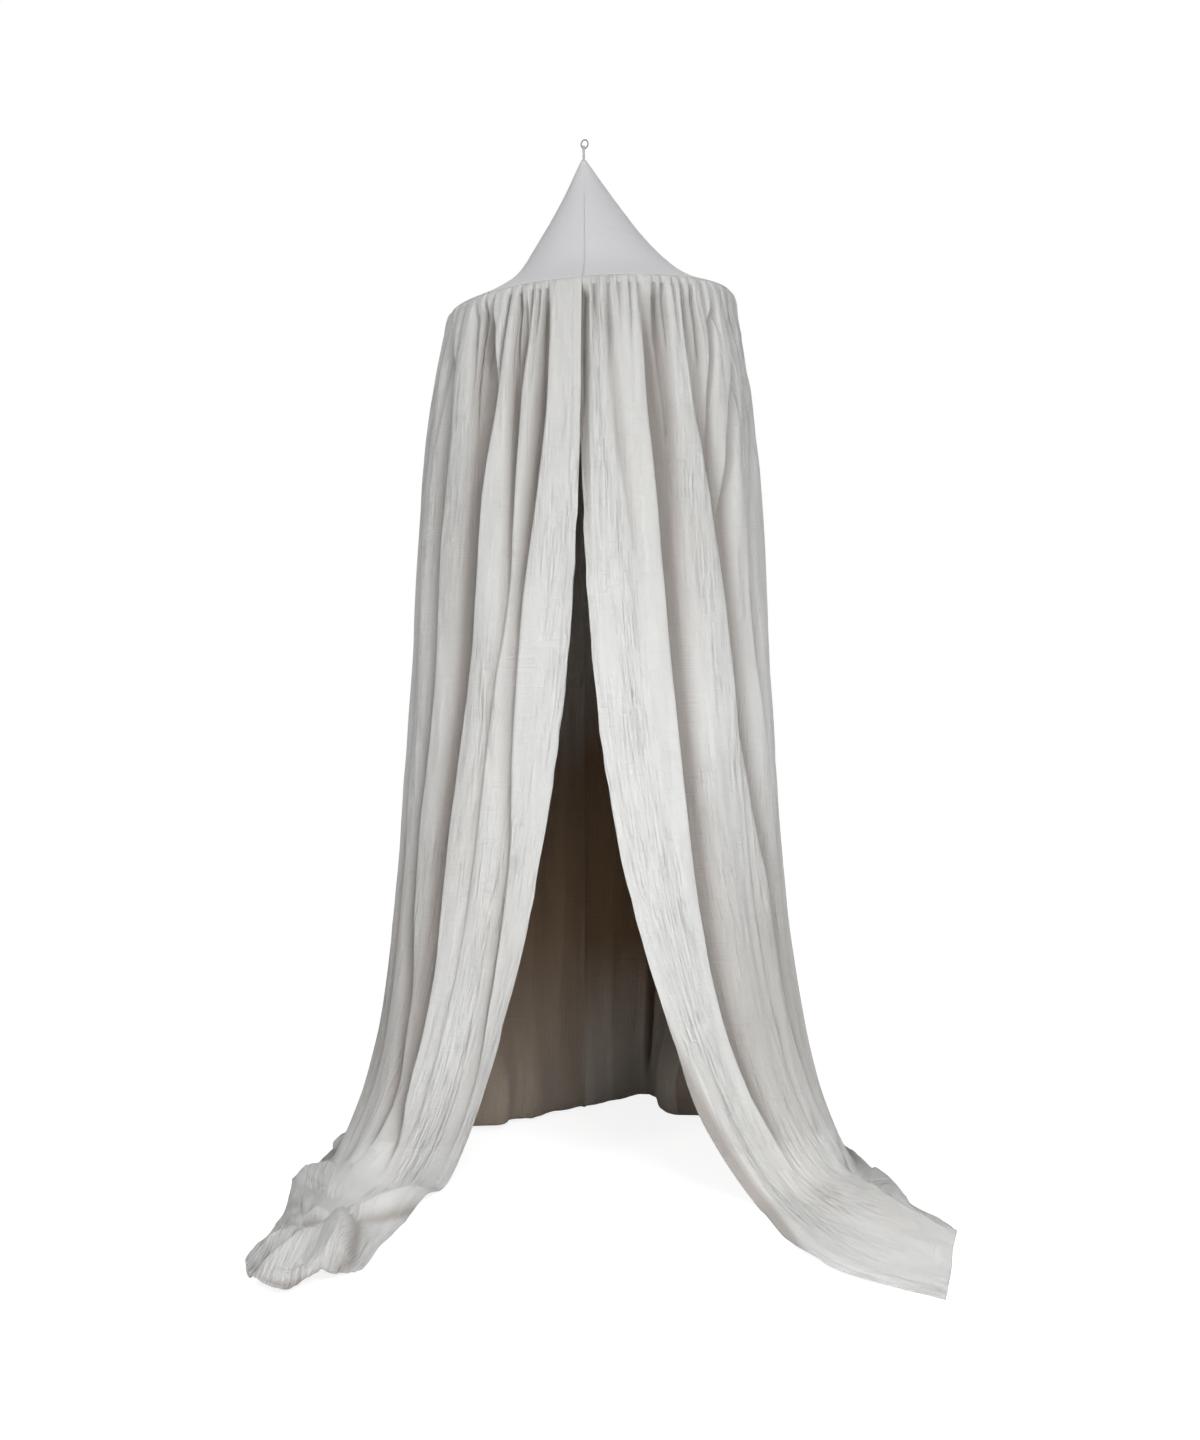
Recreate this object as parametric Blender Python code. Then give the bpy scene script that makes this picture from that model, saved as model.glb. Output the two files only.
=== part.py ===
"""Hanging bed canopy: a steel ring and tape, a cloth cone over a sprung hoop, and a gathered long skirt.

Metres, +Z up. The origin is where a ceiling hook bears inside the top of the ring. The slit faces -Y.
"""

import bisect
import math

import bmesh
import bpy
from mathutils import Matrix, Vector

# Clearances
SEAM_GAP = 0.0008
FLOOR_SEAM_GAP = 0.0060
FIT_GAP = 0.0004

# Hanging ring and tape
HOOK_HEIGHT = 1.8076
RING_WIRE_DIAMETER = 0.0024
RING_INNER_WIDTH = 0.0095
RING_INNER_HEIGHT = 0.0129
RING_LEAN = math.radians(12)
RING_STEPS = 24
RING_SIDES = 10
TAPE_WIDTH = 0.0044
TAPE_THICKNESS = 0.0011
TAPE_VISIBLE_LENGTH = 0.0200
KNOT_RADIUS = 0.0065
KNOT_GAP = 0.0009
EYE_STEPS = 20
KNOT_SEGMENTS = 14
KNOT_RINGS = 8

# Hoop, made of push-together rods
HOOP_RADIUS = 0.250
HOOP_HEIGHT = 1.5028
SEAM_RISE = 0.0068
HOOP_OFFSET = 0.011
HOOP_TILT = math.radians(4.27)
ROD_DIAMETER = 0.008
ROD_COUNT = 4
ROD_END_GAP = 0.0008
SLEEVE_WALL = 0.0012
SLEEVE_LENGTH = 0.050
CASING_WALL = 0.0012
CASING_SEAT = 0.0004
CASING_SLOT_ANGLE = math.radians(50)
ROD_STEPS = 20
ROD_SIDES = 8
SLEEVE_STEPS = 4
SLEEVE_SIDES = 12
CASING_STEPS = 72
CASING_SECTION_POINTS = 9

# Cone over the hoop, sewn from two gores
CONE_WALL = 0.0012
GORE_COUNT = 2
GORE_COLUMNS = 19
GORE_FALLS = (0.0, 0.06, 0.14, 0.25, 0.38, 0.52, 0.66, 0.79, 0.91, 1.0)

# Sections of the cone: share of its height over the seam, outer radius, shift of its sides to +X.
CONE_SECTIONS = (
    (0.0, HOOP_RADIUS, 0.0),
    (0.09, 0.1950, 0.0060),
    (0.21, 0.1460, 0.0110),
    (0.42, 0.0995, 0.0070),
    (0.70, 0.0505, 0.0050),
    (1.0, 0.0043, 0.0),
)

# Skirt, sewn from four panels that meet at the sides and the centre back
CLOTH_WALL = 0.0025
SKIRT_PUFF = 0.036
PUFF_REACH = 0.08
EVEN_SPREAD = 0.488
LATE_SPREAD_POWER = 9
FOLD_DEPTH = 0.024
FOLDS_OPEN_BY = 0.16
FOLDS_FADE_FROM = 0.7
FLOOR_SHARE = 0.27
RIPPLE_HEIGHT = 0.022
SLIT_ANGLE = 3.2
LEFT_SEAM_ANGLE = 93.0
BACK_SEAM_ANGLE = 176.8
RIGHT_SEAM_ANGLE = 273.0
CURTAIN_PIVOT_MARGIN = 0.0375
LEFT_PIVOT_SET_BACK = 0.0100
PANEL_COLUMNS = 27
HANGING_DROPS = (0.0, 0.03, 0.08, 0.16, 0.27, 0.40, 0.54, 0.68, 0.81, 0.92)
FLOOR_ROWS = 5

# Where the skirt goes from each direction on the hoop: degrees clockwise from the front, how late it turns,
# and the points on the floor where it lands, bends and ends, as X and Y from the middle of the hoop.
SKIRT_GUIDES = (
    (3.2, 2.7, (-0.235, -0.240), (-0.285, -0.490), (-0.318, -0.735)),
    (20.0, 2.6, (-0.300, -0.300), (-0.350, -0.520), (-0.362, -0.790)),
    (36.0, 2.5, (-0.365, -0.300), (-0.396, -0.520), (-0.410, -0.835)),
    (52.0, 2.5, (-0.415, -0.240), (-0.430, -0.470), (-0.462, -0.800)),
    (68.0, 2.5, (-0.445, -0.150), (-0.452, -0.350), (-0.480, -0.670)),
    (80.0, 2.5, (-0.450, -0.090), (-0.464, -0.190), (-0.460, -0.360)),
    (93.0, 2.5, (-0.446, -0.030), (-0.455, -0.040), (-0.462, -0.055)),
    (112.0, 2.5, (-0.400, 0.090), (-0.435, 0.115), (-0.466, 0.110)),
    (135.0, 2.5, (-0.285, 0.195), (-0.335, 0.270), (-0.385, 0.340)),
    (158.0, 2.5, (-0.130, 0.265), (-0.160, 0.360), (-0.190, 0.460)),
    (176.8, 2.5, (-0.016, 0.355), (-0.017, 0.450), (-0.018, 0.560)),
    (205.0, 2.5, (0.110, 0.480), (0.125, 0.550), (0.140, 0.620)),
    (228.0, 2.5, (0.200, 0.340), (0.245, 0.430), (0.300, 0.520)),
    (250.0, 2.5, (0.340, 0.170), (0.383, 0.225), (0.425, 0.260)),
    (273.0, 2.5, (0.446, -0.030), (0.455, -0.040), (0.464, -0.055)),
    (288.0, 2.5, (0.452, -0.120), (0.469, -0.160), (0.484, -0.230)),
    (303.0, 2.6, (0.440, -0.200), (0.480, -0.290), (0.500, -0.380)),
    (318.0, 2.7, (0.400, -0.240), (0.475, -0.390), (0.550, -0.520)),
    (333.0, 2.7, (0.350, -0.290), (0.430, -0.520), (0.522, -0.670)),
    (348.0, 2.7, (0.312, -0.325), (0.378, -0.610), (0.497, -0.785)),
    (363.2, 2.8, (0.277, -0.350), (0.326, -0.700), (0.475, -0.875)),
)

# The valleys between the main folds: direction at the hoop and half width in degrees, share of FOLD_DEPTH.
SKIRT_VALLEYS = (
    (18.5, 4.0, 0.6),
    (28.0, 4.0, 0.8),
    (43.0, 4.5, 1.0),
    (59.0, 4.5, 0.7),
    (74.0, 4.5, 0.8),
    (88.0, 4.0, 0.7),
    (104.0, 5.0, 0.9),
    (122.0, 5.5, 1.0),
    (141.0, 5.5, 0.8),
    (156.0, 5.5, 0.9),
    (168.0, 4.5, 0.7),
    (190.0, 5.0, 0.7),
    (216.0, 6.0, 1.1),
    (236.0, 5.5, 0.8),
    (254.0, 5.0, 0.9),
    (268.0, 4.5, 0.7),
    (283.0, 4.5, 0.8),
    (296.0, 4.5, 0.9),
    (309.5, 4.5, 0.9),
    (319.0, 3.5, 0.5),
    (333.5, 4.5, 1.0),
    (350.0, 3.5, 0.4),
)

# How high the cloth is heaped on the floor, as a share of RIPPLE_HEIGHT, by direction in degrees.
SKIRT_HEAPS = (
    (3.2, 0.6),
    (20.0, 1.3),
    (36.0, 1.8),
    (68.0, 1.6),
    (93.0, 0.8),
    (158.0, 1.0),
    (205.0, 1.2),
    (250.0, 1.0),
    (288.0, 0.8),
    (318.0, 0.3),
    (363.2, 0.1),
)

MUSLIN = {"color": (0.72, 0.72, 0.69), "roughness": 0.95, "metallic": 0.0}
CONE_CLOTH = {"color": (0.56, 0.57, 0.58), "roughness": 0.95, "metallic": 0.0}
TAPE_CLOTH = {"color": (0.52, 0.52, 0.53), "roughness": 0.9, "metallic": 0.0}
RING_STEEL = {"color": (0.45, 0.45, 0.46), "roughness": 0.35, "metallic": 1.0}
ROD_FIBRE = {"color": (0.80, 0.78, 0.72), "roughness": 0.5, "metallic": 0.0}
SLEEVE_STEEL = {"color": (0.60, 0.60, 0.62), "roughness": 0.4, "metallic": 1.0}

FLOOR_Z = -HOOK_HEIGHT
ROD_RADIUS = ROD_DIAMETER / 2
CASING_SECTION_STEP = (math.tau - CASING_SLOT_ANGLE) / (CASING_SECTION_POINTS - 1)
ROD_SAG = HOOP_RADIUS * (1 - math.cos(math.pi / (ROD_COUNT * ROD_STEPS)))
CASING_SAG = HOOP_RADIUS * (1 - math.cos(math.pi / CASING_STEPS))
SLEEVE_INNER_RADIUS = ROD_RADIUS + FIT_GAP + ROD_SAG
SLEEVE_OUTER_RADIUS = SLEEVE_INNER_RADIUS + SLEEVE_WALL
CASING_INNER_RADIUS = (SLEEVE_OUTER_RADIUS + FIT_GAP + CASING_SAG) / math.cos(CASING_SECTION_STEP / 2)
CASING_OUTER_RADIUS = CASING_INNER_RADIUS + CASING_WALL
ROD_CIRCLE_RADIUS = HOOP_RADIUS - CLOTH_WALL - CASING_OUTER_RADIUS + CASING_SEAT
HOOP_CENTRE = Vector((HOOP_OFFSET, 0, HOOP_HEIGHT - HOOK_HEIGHT))
TILT_MATRIX = Matrix.Rotation(-HOOP_TILT, 4, "Y")


def clear_scene():
    """Remove whatever the file holds."""
    for old in list(bpy.data.objects):
        bpy.data.objects.remove(old, do_unlink=True)


def material(name, finish):
    """One Principled BSDF material."""
    made = bpy.data.materials.new(name)
    made.use_nodes = True
    shader = made.node_tree.nodes["Principled BSDF"]
    shader.inputs["Base Color"].default_value = (*finish["color"], 1.0)
    shader.inputs["Roughness"].default_value = finish["roughness"]
    shader.inputs["Metallic"].default_value = finish["metallic"]
    return made


def add_mesh(name, points, faces, finish, origin=(0, 0, 0)):
    """An object whose mesh is given in world places and whose origin is set where its joint turns."""
    start = Vector(origin)
    mesh = bpy.data.meshes.new(name)
    mesh.from_pydata([Vector(point) - start for point in points], [], faces)
    mesh.validate()
    made = bpy.data.objects.new(name, mesh)
    made.location = start
    made.data.materials.append(material(name, finish))
    bpy.context.scene.collection.objects.link(made)
    return made


def face_outwards(made):
    """Turn a closed mesh's faces outwards."""
    shape = bmesh.new()
    shape.from_mesh(made.data)
    bmesh.ops.recalc_face_normals(shape, faces=shape.faces)
    shape.to_mesh(made.data)
    shape.free()


def shade_round(made, angle=40):
    """Smooth shading with the sharp edges kept."""
    made.data.shade_smooth()
    made.data.set_sharp_from_angle(angle=math.radians(angle))


def loft(name, rings, finish, closed_path=False, origin=(0, 0, 0)):
    """A solid through rings of the same number of points, its ends capped unless the path is closed."""
    count = len(rings[0])
    points = [point for ring in rings for point in ring]
    steps = len(rings) if closed_path else len(rings) - 1
    faces = []
    for step in range(steps):
        near = step * count
        far = (step + 1) % len(rings) * count
        for side in range(count):
            after = (side + 1) % count
            faces.append((near + side, near + after, far + after, far + side))
    if not closed_path:
        faces.append(tuple(range(count)))
        faces.append(tuple(range(len(points) - count, len(points))))
    made = add_mesh(name, points, faces, finish, origin)
    face_outwards(made)
    shade_round(made)
    return made


def in_hoop_frame(angle, radius, rise):
    """World place of a point, by its direction from the front, its radius and its rise over the hoop."""
    flat = Vector((-math.sin(angle) * radius, -math.cos(angle) * radius, rise))
    return HOOP_CENTRE + TILT_MATRIX @ flat


def hoop_section(angle, radius, sides):
    """Points of a round section of the hoop's rod, from its outer side up and over."""
    turns = [math.tau * step / sides for step in range(sides)]
    return [
        in_hoop_frame(angle, ROD_CIRCLE_RADIUS + radius * math.cos(t), radius * math.sin(t)) for t in turns
    ]


def ease(low, high, value):
    """0 below low, 1 above high, smooth between."""
    share = min(1.0, max(0.0, (value - low) / (high - low)))
    return share * share * (3 - 2 * share)


def curve_value(keys, values, at):
    """Smooth curve through the values, each a number or a Vector, at increasing keys."""
    at = min(max(at, keys[0]), keys[-1])
    place = min(max(bisect.bisect_right(keys, at) - 1, 0), len(keys) - 2)
    span = keys[place + 1] - keys[place]
    share = (at - keys[place]) / span

    def slope(index):
        before = max(index - 1, 0)
        after = min(index + 1, len(keys) - 1)
        return (values[after] - values[before]) / (keys[after] - keys[before]) * span

    square = share * share
    cube = square * share
    return (
        values[place] * (2 * cube - 3 * square + 1)
        + slope(place) * (cube - 2 * square + share)
        + values[place + 1] * (3 * square - 2 * cube)
        + slope(place + 1) * (cube - square)
    )


GUIDE_ANGLES = [guide[0] for guide in SKIRT_GUIDES]
GUIDE_DELAYS = [guide[1] for guide in SKIRT_GUIDES]
GUIDE_FEET = [Vector(guide[2]) for guide in SKIRT_GUIDES]
GUIDE_BENDS = [Vector(guide[3]) for guide in SKIRT_GUIDES]
GUIDE_HEMS = [Vector(guide[4]) for guide in SKIRT_GUIDES]
HEAP_ANGLES = [heap[0] for heap in SKIRT_HEAPS]
HEAP_SHARES = [heap[1] for heap in SKIRT_HEAPS]
CONE_RISES = [section[0] for section in CONE_SECTIONS]
CONE_RADII = [section[1] for section in CONE_SECTIONS]
CONE_SHIFTS = [section[2] for section in CONE_SECTIONS]


def fold_depth(direction):
    """How far the cloth falls in at a direction, in metres, 0 on a ridge."""
    depth = 0.0
    for middle, half_width, share in SKIRT_VALLEYS:
        depth += FOLD_DEPTH * share * math.exp(-(((direction - middle) / half_width) ** 2))
    return depth


def hanging_point(direction, drop):
    """Where the cloth hangs: direction in degrees at the hoop, drop from 0 at the hoop to 1 at the floor."""
    top = in_hoop_frame(math.radians(direction), HOOP_RADIUS, SEAM_RISE - CONE_WALL - SEAM_GAP)
    foot = curve_value(GUIDE_ANGLES, GUIDE_FEET, direction)
    delay = curve_value(GUIDE_ANGLES, GUIDE_DELAYS, direction)
    foot_angle = math.atan2(-foot.x, -foot.y)
    top_angle = math.radians(direction)
    turn = (foot_angle - top_angle + math.pi) % math.tau - math.pi
    angle = top_angle + turn * drop**delay
    puff = SKIRT_PUFF * (1 - math.exp(-drop / PUFF_REACH))
    spread = foot.length - HOOP_RADIUS - SKIRT_PUFF
    spread *= EVEN_SPREAD * drop + (1 - EVEN_SPREAD) * drop**LATE_SPREAD_POWER
    folds = ease(0.0, FOLDS_OPEN_BY, drop) * (1 - 0.5 * ease(FOLDS_FADE_FROM, 1.0, drop))
    radius = HOOP_RADIUS + puff + spread - fold_depth(direction) * folds
    height = top.z * (1 - drop) + (FLOOR_Z + CLOTH_WALL) * drop
    sideways = top.x - HOOP_OFFSET + math.sin(top_angle) * HOOP_RADIUS
    middle = HOOP_OFFSET + sideways * (1 - drop)
    return Vector((middle - math.sin(angle) * radius, -math.cos(angle) * radius, height))


def floor_point(direction, share):
    """Where the cloth lies: share from 0 where it lands to 1 at its hem."""
    landing = hanging_point(direction, 1.0)
    bend = curve_value(GUIDE_ANGLES, GUIDE_BENDS, direction)
    hem = curve_value(GUIDE_ANGLES, GUIDE_HEMS, direction)
    start = Vector((landing.x - HOOP_OFFSET, landing.y))
    place = curve_value([0.0, 0.45, 1.0], [start, bend, hem], share)
    heap = RIPPLE_HEIGHT * curve_value(HEAP_ANGLES, HEAP_SHARES, direction)
    ridge = 1 - min(1.0, fold_depth(direction) / FOLD_DEPTH)
    lift = heap * math.sin(math.pi * share) * (0.35 + 0.65 * ridge)
    return Vector((place.x + HOOP_OFFSET, place.y, landing.z + lift))


def cloth_point(direction, along):
    """A point of the skirt: direction in degrees at the hoop, along from 0 at the hoop to 1 at the hem."""
    hanging_share = 1 - FLOOR_SHARE
    if along <= hanging_share:
        return hanging_point(direction, along / hanging_share)
    return floor_point(direction, (along - hanging_share) / FLOOR_SHARE)


def sheet_columns(surface, first, last, count, row):
    """Columns of one row, drawn in at both ends so that half a seam gap is left there on the cloth."""
    step = 0.01
    gap = SEAM_GAP + (FLOOR_SEAM_GAP - SEAM_GAP) * ease(0.5, 1 - FLOOR_SHARE, row)
    edges = []
    for at, inwards in ((first, 1), (last, -1)):
        across = surface(at + inwards * step, row) - surface(at, row)
        seam = (surface(at, max(row - step, 0.0)) - surface(at, min(row + step, 1.0))).normalized()
        speed = across.cross(seam).length / step
        edges.append(at + inwards * gap / 2 / speed)
    return [edges[0] + (edges[1] - edges[0]) * column / (count - 1) for column in range(count)]


def build_sheet(name, surface, first, last, width, rows, wall, finish, origin):
    """A cloth of even thickness whose outer face is surface(column, row), with a rim all round."""
    step = 0.002
    outer = []
    inner = []
    for row in rows:
        for column in sheet_columns(surface, first, last, width, row):
            place = surface(column, row)
            across = surface(column + step, row) - surface(column - step, row)
            up = surface(column, max(row - step, 0.0)) - surface(column, min(row + step, 1.0))
            outer.append(place)
            inner.append(place + across.cross(up).normalized() * wall)
    count = len(outer)
    faces = []
    for row in range(len(rows) - 1):
        for column in range(width - 1):
            corner = row * width + column
            quad = (corner, corner + 1, corner + width + 1, corner + width)
            faces.append(quad)
            faces.append(tuple(count + index for index in reversed(quad)))
    rim = list(range(width))
    rim += [width * row + width - 1 for row in range(1, len(rows))]
    rim += [count - 2 - column for column in range(width - 1)]
    rim += [width * row for row in range(len(rows) - 2, 0, -1)]
    for index, corner in enumerate(rim):
        after = rim[(index + 1) % len(rim)]
        faces.append((corner, after, count + after, count + corner))
    made = add_mesh(name, outer + inner, faces, finish, origin)
    face_outwards(made)
    shade_round(made, 60)
    return made


def build_skirt_panel(name, first_angle, last_angle, origin):
    """One panel of the skirt between two directions."""
    hanging_share = 1 - FLOOR_SHARE
    rows = [hanging_share * drop for drop in HANGING_DROPS]
    rows += [hanging_share + FLOOR_SHARE * row / FLOOR_ROWS for row in range(FLOOR_ROWS + 1)]
    return build_sheet(
        name, cloth_point, first_angle, last_angle, PANEL_COLUMNS, rows, CLOTH_WALL, MUSLIN, origin
    )


def ring_place(turn, outward=0.0):
    """A point off the middle of the ring's wire, by its turn from the top and its distance outward."""
    wire = RING_WIRE_DIAMETER / 2
    half_width = RING_INNER_WIDTH / 2 + wire
    half_height = RING_INNER_HEIGHT / 2 + wire
    middle = Vector((half_width * math.sin(turn), 0, half_height * math.cos(turn) - RING_INNER_HEIGHT / 2))
    normal = Vector((math.sin(turn) / half_width, 0, math.cos(turn) / half_height)).normalized()
    return Matrix.Rotation(RING_LEAN, 4, "Y") @ (middle + normal * outward)


def eye_place():
    """Middle and inner radius of the tape's eye, which clears the curved wire over the tape's width."""
    wire = RING_WIRE_DIAMETER / 2
    middle = ring_place(math.pi)
    turns = [math.pi * (0.5 + step / 200) for step in range(201)]
    near = [p for t in turns for p in (ring_place(t, wire), ring_place(t, -wire))]
    near = [p.z for p in near if abs(p.x - middle.x) < TAPE_WIDTH / 2 + FIT_GAP]
    top = max(near) + FIT_GAP
    bottom = min(near) - FIT_GAP
    return Vector((middle.x, 0, (top + bottom) / 2)), (top - bottom) / 2


EYE_MIDDLE, EYE_RADIUS = eye_place()
CONE_TIP_Z = EYE_MIDDLE.z - EYE_RADIUS - TAPE_VISIBLE_LENGTH
CONE_TIP = Vector((EYE_MIDDLE.x, 0, CONE_TIP_Z))


def cone_radius(rise):
    """Outer radius of the cone at a share of its height, 0 at the seam and 1 at the tip."""
    return curve_value(CONE_RISES, CONE_RADII, rise)


def cone_point(angle, rise, radius):
    """World place on the cone: the hoop's tilt fades out towards the tip."""
    foot = HOOP_CENTRE + Vector((0, 0, SEAM_RISE))
    upright = Vector((-math.sin(angle) * radius, -math.cos(angle) * radius, 0))
    tilted = in_hoop_frame(angle, radius, SEAM_RISE) - foot
    middle = foot + (CONE_TIP - foot) * rise
    side_share = math.sin(angle) ** 2
    middle.x += curve_value(CONE_RISES, CONE_SHIFTS, rise) * side_share
    return middle + tilted * (1 - rise) + upright * rise


def cone_surface(angle, fall):
    """Outer face of the cone: direction in degrees, fall from 0 at the tip to 1 at the hoop."""
    rise = 1 - fall
    return cone_point(math.radians(angle), rise, cone_radius(rise))


def build_gore(index, name):
    """One gore of the cone, from the front seam to the back seam."""
    first = SLIT_ANGLE + 360 * index / GORE_COUNT
    last = first + 360 / GORE_COUNT
    return build_sheet(
        name, cone_surface, first, last, GORE_COLUMNS, GORE_FALLS, CONE_WALL, CONE_CLOTH, CONE_TIP
    )


def knot_depth():
    """Depth under the tip at which the knot seats in the cone. Its flats leave the gap between them."""
    row = (CONE_TIP_Z - HOOP_CENTRE.z - SEAM_RISE) * GORE_FALLS[1]
    narrow = cone_radius(1.0)
    slope = math.atan2(cone_radius(1 - GORE_FALLS[1]) - narrow, row)
    return ((KNOT_RADIUS + CONE_WALL + KNOT_GAP) / math.cos(slope) - narrow) / math.tan(slope)


def build_hanging_ring():
    """The oval wire ring, leaning a little, with the hook's place at its inner top."""
    wire = RING_WIRE_DIAMETER / 2
    rings = []
    for step in range(RING_STEPS):
        turn = math.tau * step / RING_STEPS
        section = []
        for side in range(RING_SIDES):
            angle = math.tau * side / RING_SIDES
            section.append(ring_place(turn, wire * math.cos(angle)) + Vector((0, wire * math.sin(angle), 0)))
        rings.append(section)
    return loft("hanging_ring", rings, RING_STEEL, closed_path=True)


def build_hanging_tape():
    """The tape: an eye round the ring, two layers down through the cone's tip, and a knot under the tip."""
    half = TAPE_WIDTH / 2
    outer = EYE_RADIUS + TAPE_THICKNESS
    eye_rings = []
    for step in range(EYE_STEPS):
        turn = math.tau * step / EYE_STEPS
        direction = Vector((0, math.sin(turn), math.cos(turn)))
        eye_rings.append(
            [
                EYE_MIDDLE + direction * EYE_RADIUS + Vector((-half, 0, 0)),
                EYE_MIDDLE + direction * outer + Vector((-half, 0, 0)),
                EYE_MIDDLE + direction * outer + Vector((half, 0, 0)),
                EYE_MIDDLE + direction * EYE_RADIUS + Vector((half, 0, 0)),
            ]
        )
    tape = loft("hanging_tape", eye_rings, TAPE_CLOTH, closed_path=True, origin=EYE_MIDDLE)

    top = EYE_MIDDLE.z - EYE_RADIUS - TAPE_THICKNESS * 0.4
    bottom = CONE_TIP_Z - knot_depth()
    stem_rings = []
    for height in (top, (top + bottom) / 2, bottom):
        stem_rings.append(
            [
                Vector((EYE_MIDDLE.x + x * half, y * TAPE_THICKNESS, height))
                for x, y in ((-1, -1), (1, -1), (1, 1), (-1, 1))
            ]
        )
    stem = loft("tape_stem_helper", stem_rings, TAPE_CLOTH)

    bpy.ops.mesh.primitive_uv_sphere_add(
        segments=KNOT_SEGMENTS, ring_count=KNOT_RINGS, radius=KNOT_RADIUS
    )
    knot = bpy.context.object
    knot.name = "tape_knot_helper"
    knot.location = (EYE_MIDDLE.x, 0, bottom)
    for helper in (stem, knot):
        helper.hide_render = True
        helper.display_type = "WIRE"
        join = tape.modifiers.new(helper.name, "BOOLEAN")
        join.operation = "UNION"
        join.solver = "EXACT"
        join.object = helper
    return tape


def build_hoop():
    """The rods of the hoop, and a sleeve over each place where two rod ends meet."""
    share = math.tau / ROD_COUNT
    end_gap = ROD_END_GAP / 2 / HOOP_RADIUS
    for index in range(ROD_COUNT):
        start = share * index + end_gap
        sweep = share - 2 * end_gap
        angles = [start + sweep * step / ROD_STEPS for step in range(ROD_STEPS + 1)]
        rings = [hoop_section(angle, ROD_RADIUS, ROD_SIDES) for angle in angles]
        loft(f"hoop_rod_{index + 1}", rings, ROD_FIBRE, origin=HOOP_CENTRE)
    half_sleeve = SLEEVE_LENGTH / 2 / HOOP_RADIUS
    for index in range(ROD_COUNT):
        turns = [2 * step / SLEEVE_STEPS - 1 for step in range(SLEEVE_STEPS + 1)]
        angles = [share * index + half_sleeve * turn for turn in turns]
        bore = SLEEVE_INNER_RADIUS / math.cos(math.pi / SLEEVE_SIDES)
        outer = [hoop_section(angle, SLEEVE_OUTER_RADIUS, SLEEVE_SIDES) for angle in angles]
        inner = [hoop_section(angle, bore, SLEEVE_SIDES) for angle in reversed(angles)]
        loft(f"hoop_sleeve_{index + 1}", outer + inner, SLEEVE_STEEL, closed_path=True, origin=HOOP_CENTRE)


def casing_section(angle):
    """Points of the casing's slit tube: along its outer wall, then back along its inner wall."""
    start = math.pi + CASING_SLOT_ANGLE / 2
    turns = [start + CASING_SECTION_STEP * step for step in range(CASING_SECTION_POINTS)]
    walls = [(CASING_OUTER_RADIUS, turn) for turn in turns]
    walls += [(CASING_INNER_RADIUS, turn) for turn in reversed(turns)]
    return [
        in_hoop_frame(angle, ROD_CIRCLE_RADIUS + r * math.cos(turn), r * math.sin(turn)) for r, turn in walls
    ]


def build_casing():
    """The cloth tunnel round the hoop, with its slot on the inner side."""
    rings = [casing_section(math.tau * step / CASING_STEPS) for step in range(CASING_STEPS)]
    return loft("hoop_casing", rings, CONE_CLOTH, closed_path=True, origin=HOOP_CENTRE)


def main():
    """Build the canopy from the ring down."""
    clear_scene()
    build_hanging_ring()
    build_hanging_tape()
    build_gore(0, "cone_left_gore")
    build_gore(1, "cone_right_gore")
    build_casing()
    build_hoop()
    right_pivot = HOOP_CENTRE + Vector((HOOP_RADIUS + CURTAIN_PIVOT_MARGIN, 0, 0))
    left_pivot = HOOP_CENTRE + Vector((-HOOP_RADIUS - CURTAIN_PIVOT_MARGIN, LEFT_PIVOT_SET_BACK, 0))
    build_skirt_panel("front_left_panel", SLIT_ANGLE, LEFT_SEAM_ANGLE, left_pivot)
    build_skirt_panel("back_left_panel", LEFT_SEAM_ANGLE, BACK_SEAM_ANGLE, CONE_TIP)
    build_skirt_panel("back_right_panel", BACK_SEAM_ANGLE, RIGHT_SEAM_ANGLE, CONE_TIP)
    build_skirt_panel("front_right_panel", RIGHT_SEAM_ANGLE, SLIT_ANGLE + 360, right_pivot)


main()
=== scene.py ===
"""Looks of a hanging bed canopy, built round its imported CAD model.

Metres, +Z up. The origin is where a ceiling hook bears inside the top of the ring. The skirt's slit faces -Y.
Directions round the hoop are in degrees, clockwise from the front as seen from above.
"""

import logging
import math
from dataclasses import dataclass, field
from enum import Enum

import bmesh
import bpy
import numpy as np
from mathutils import Matrix, Vector


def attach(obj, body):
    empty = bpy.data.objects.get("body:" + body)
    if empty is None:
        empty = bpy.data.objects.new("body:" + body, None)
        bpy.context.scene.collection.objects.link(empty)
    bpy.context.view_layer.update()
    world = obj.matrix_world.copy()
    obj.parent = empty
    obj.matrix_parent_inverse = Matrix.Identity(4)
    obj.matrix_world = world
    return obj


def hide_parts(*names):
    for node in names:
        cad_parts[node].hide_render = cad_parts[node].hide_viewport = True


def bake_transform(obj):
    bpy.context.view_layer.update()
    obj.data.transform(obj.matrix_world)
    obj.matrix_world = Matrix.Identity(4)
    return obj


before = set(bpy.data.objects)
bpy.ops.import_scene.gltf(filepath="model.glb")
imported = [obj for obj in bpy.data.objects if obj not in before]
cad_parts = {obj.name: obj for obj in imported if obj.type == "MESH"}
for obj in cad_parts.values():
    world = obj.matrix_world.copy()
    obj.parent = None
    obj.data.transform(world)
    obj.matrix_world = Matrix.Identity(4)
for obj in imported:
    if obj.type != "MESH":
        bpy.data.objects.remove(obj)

LOG = logging.getLogger("bed_canopy")
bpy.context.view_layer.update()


class Body(Enum):
    """The moving bodies that pieces ride on."""

    RING = "ring"
    TAPE = "tape"
    CANOPY = "canopy"
    LEFT_CURTAIN = "left_curtain"
    RIGHT_CURTAIN = "right_curtain"


# ---- small geometry helpers


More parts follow.
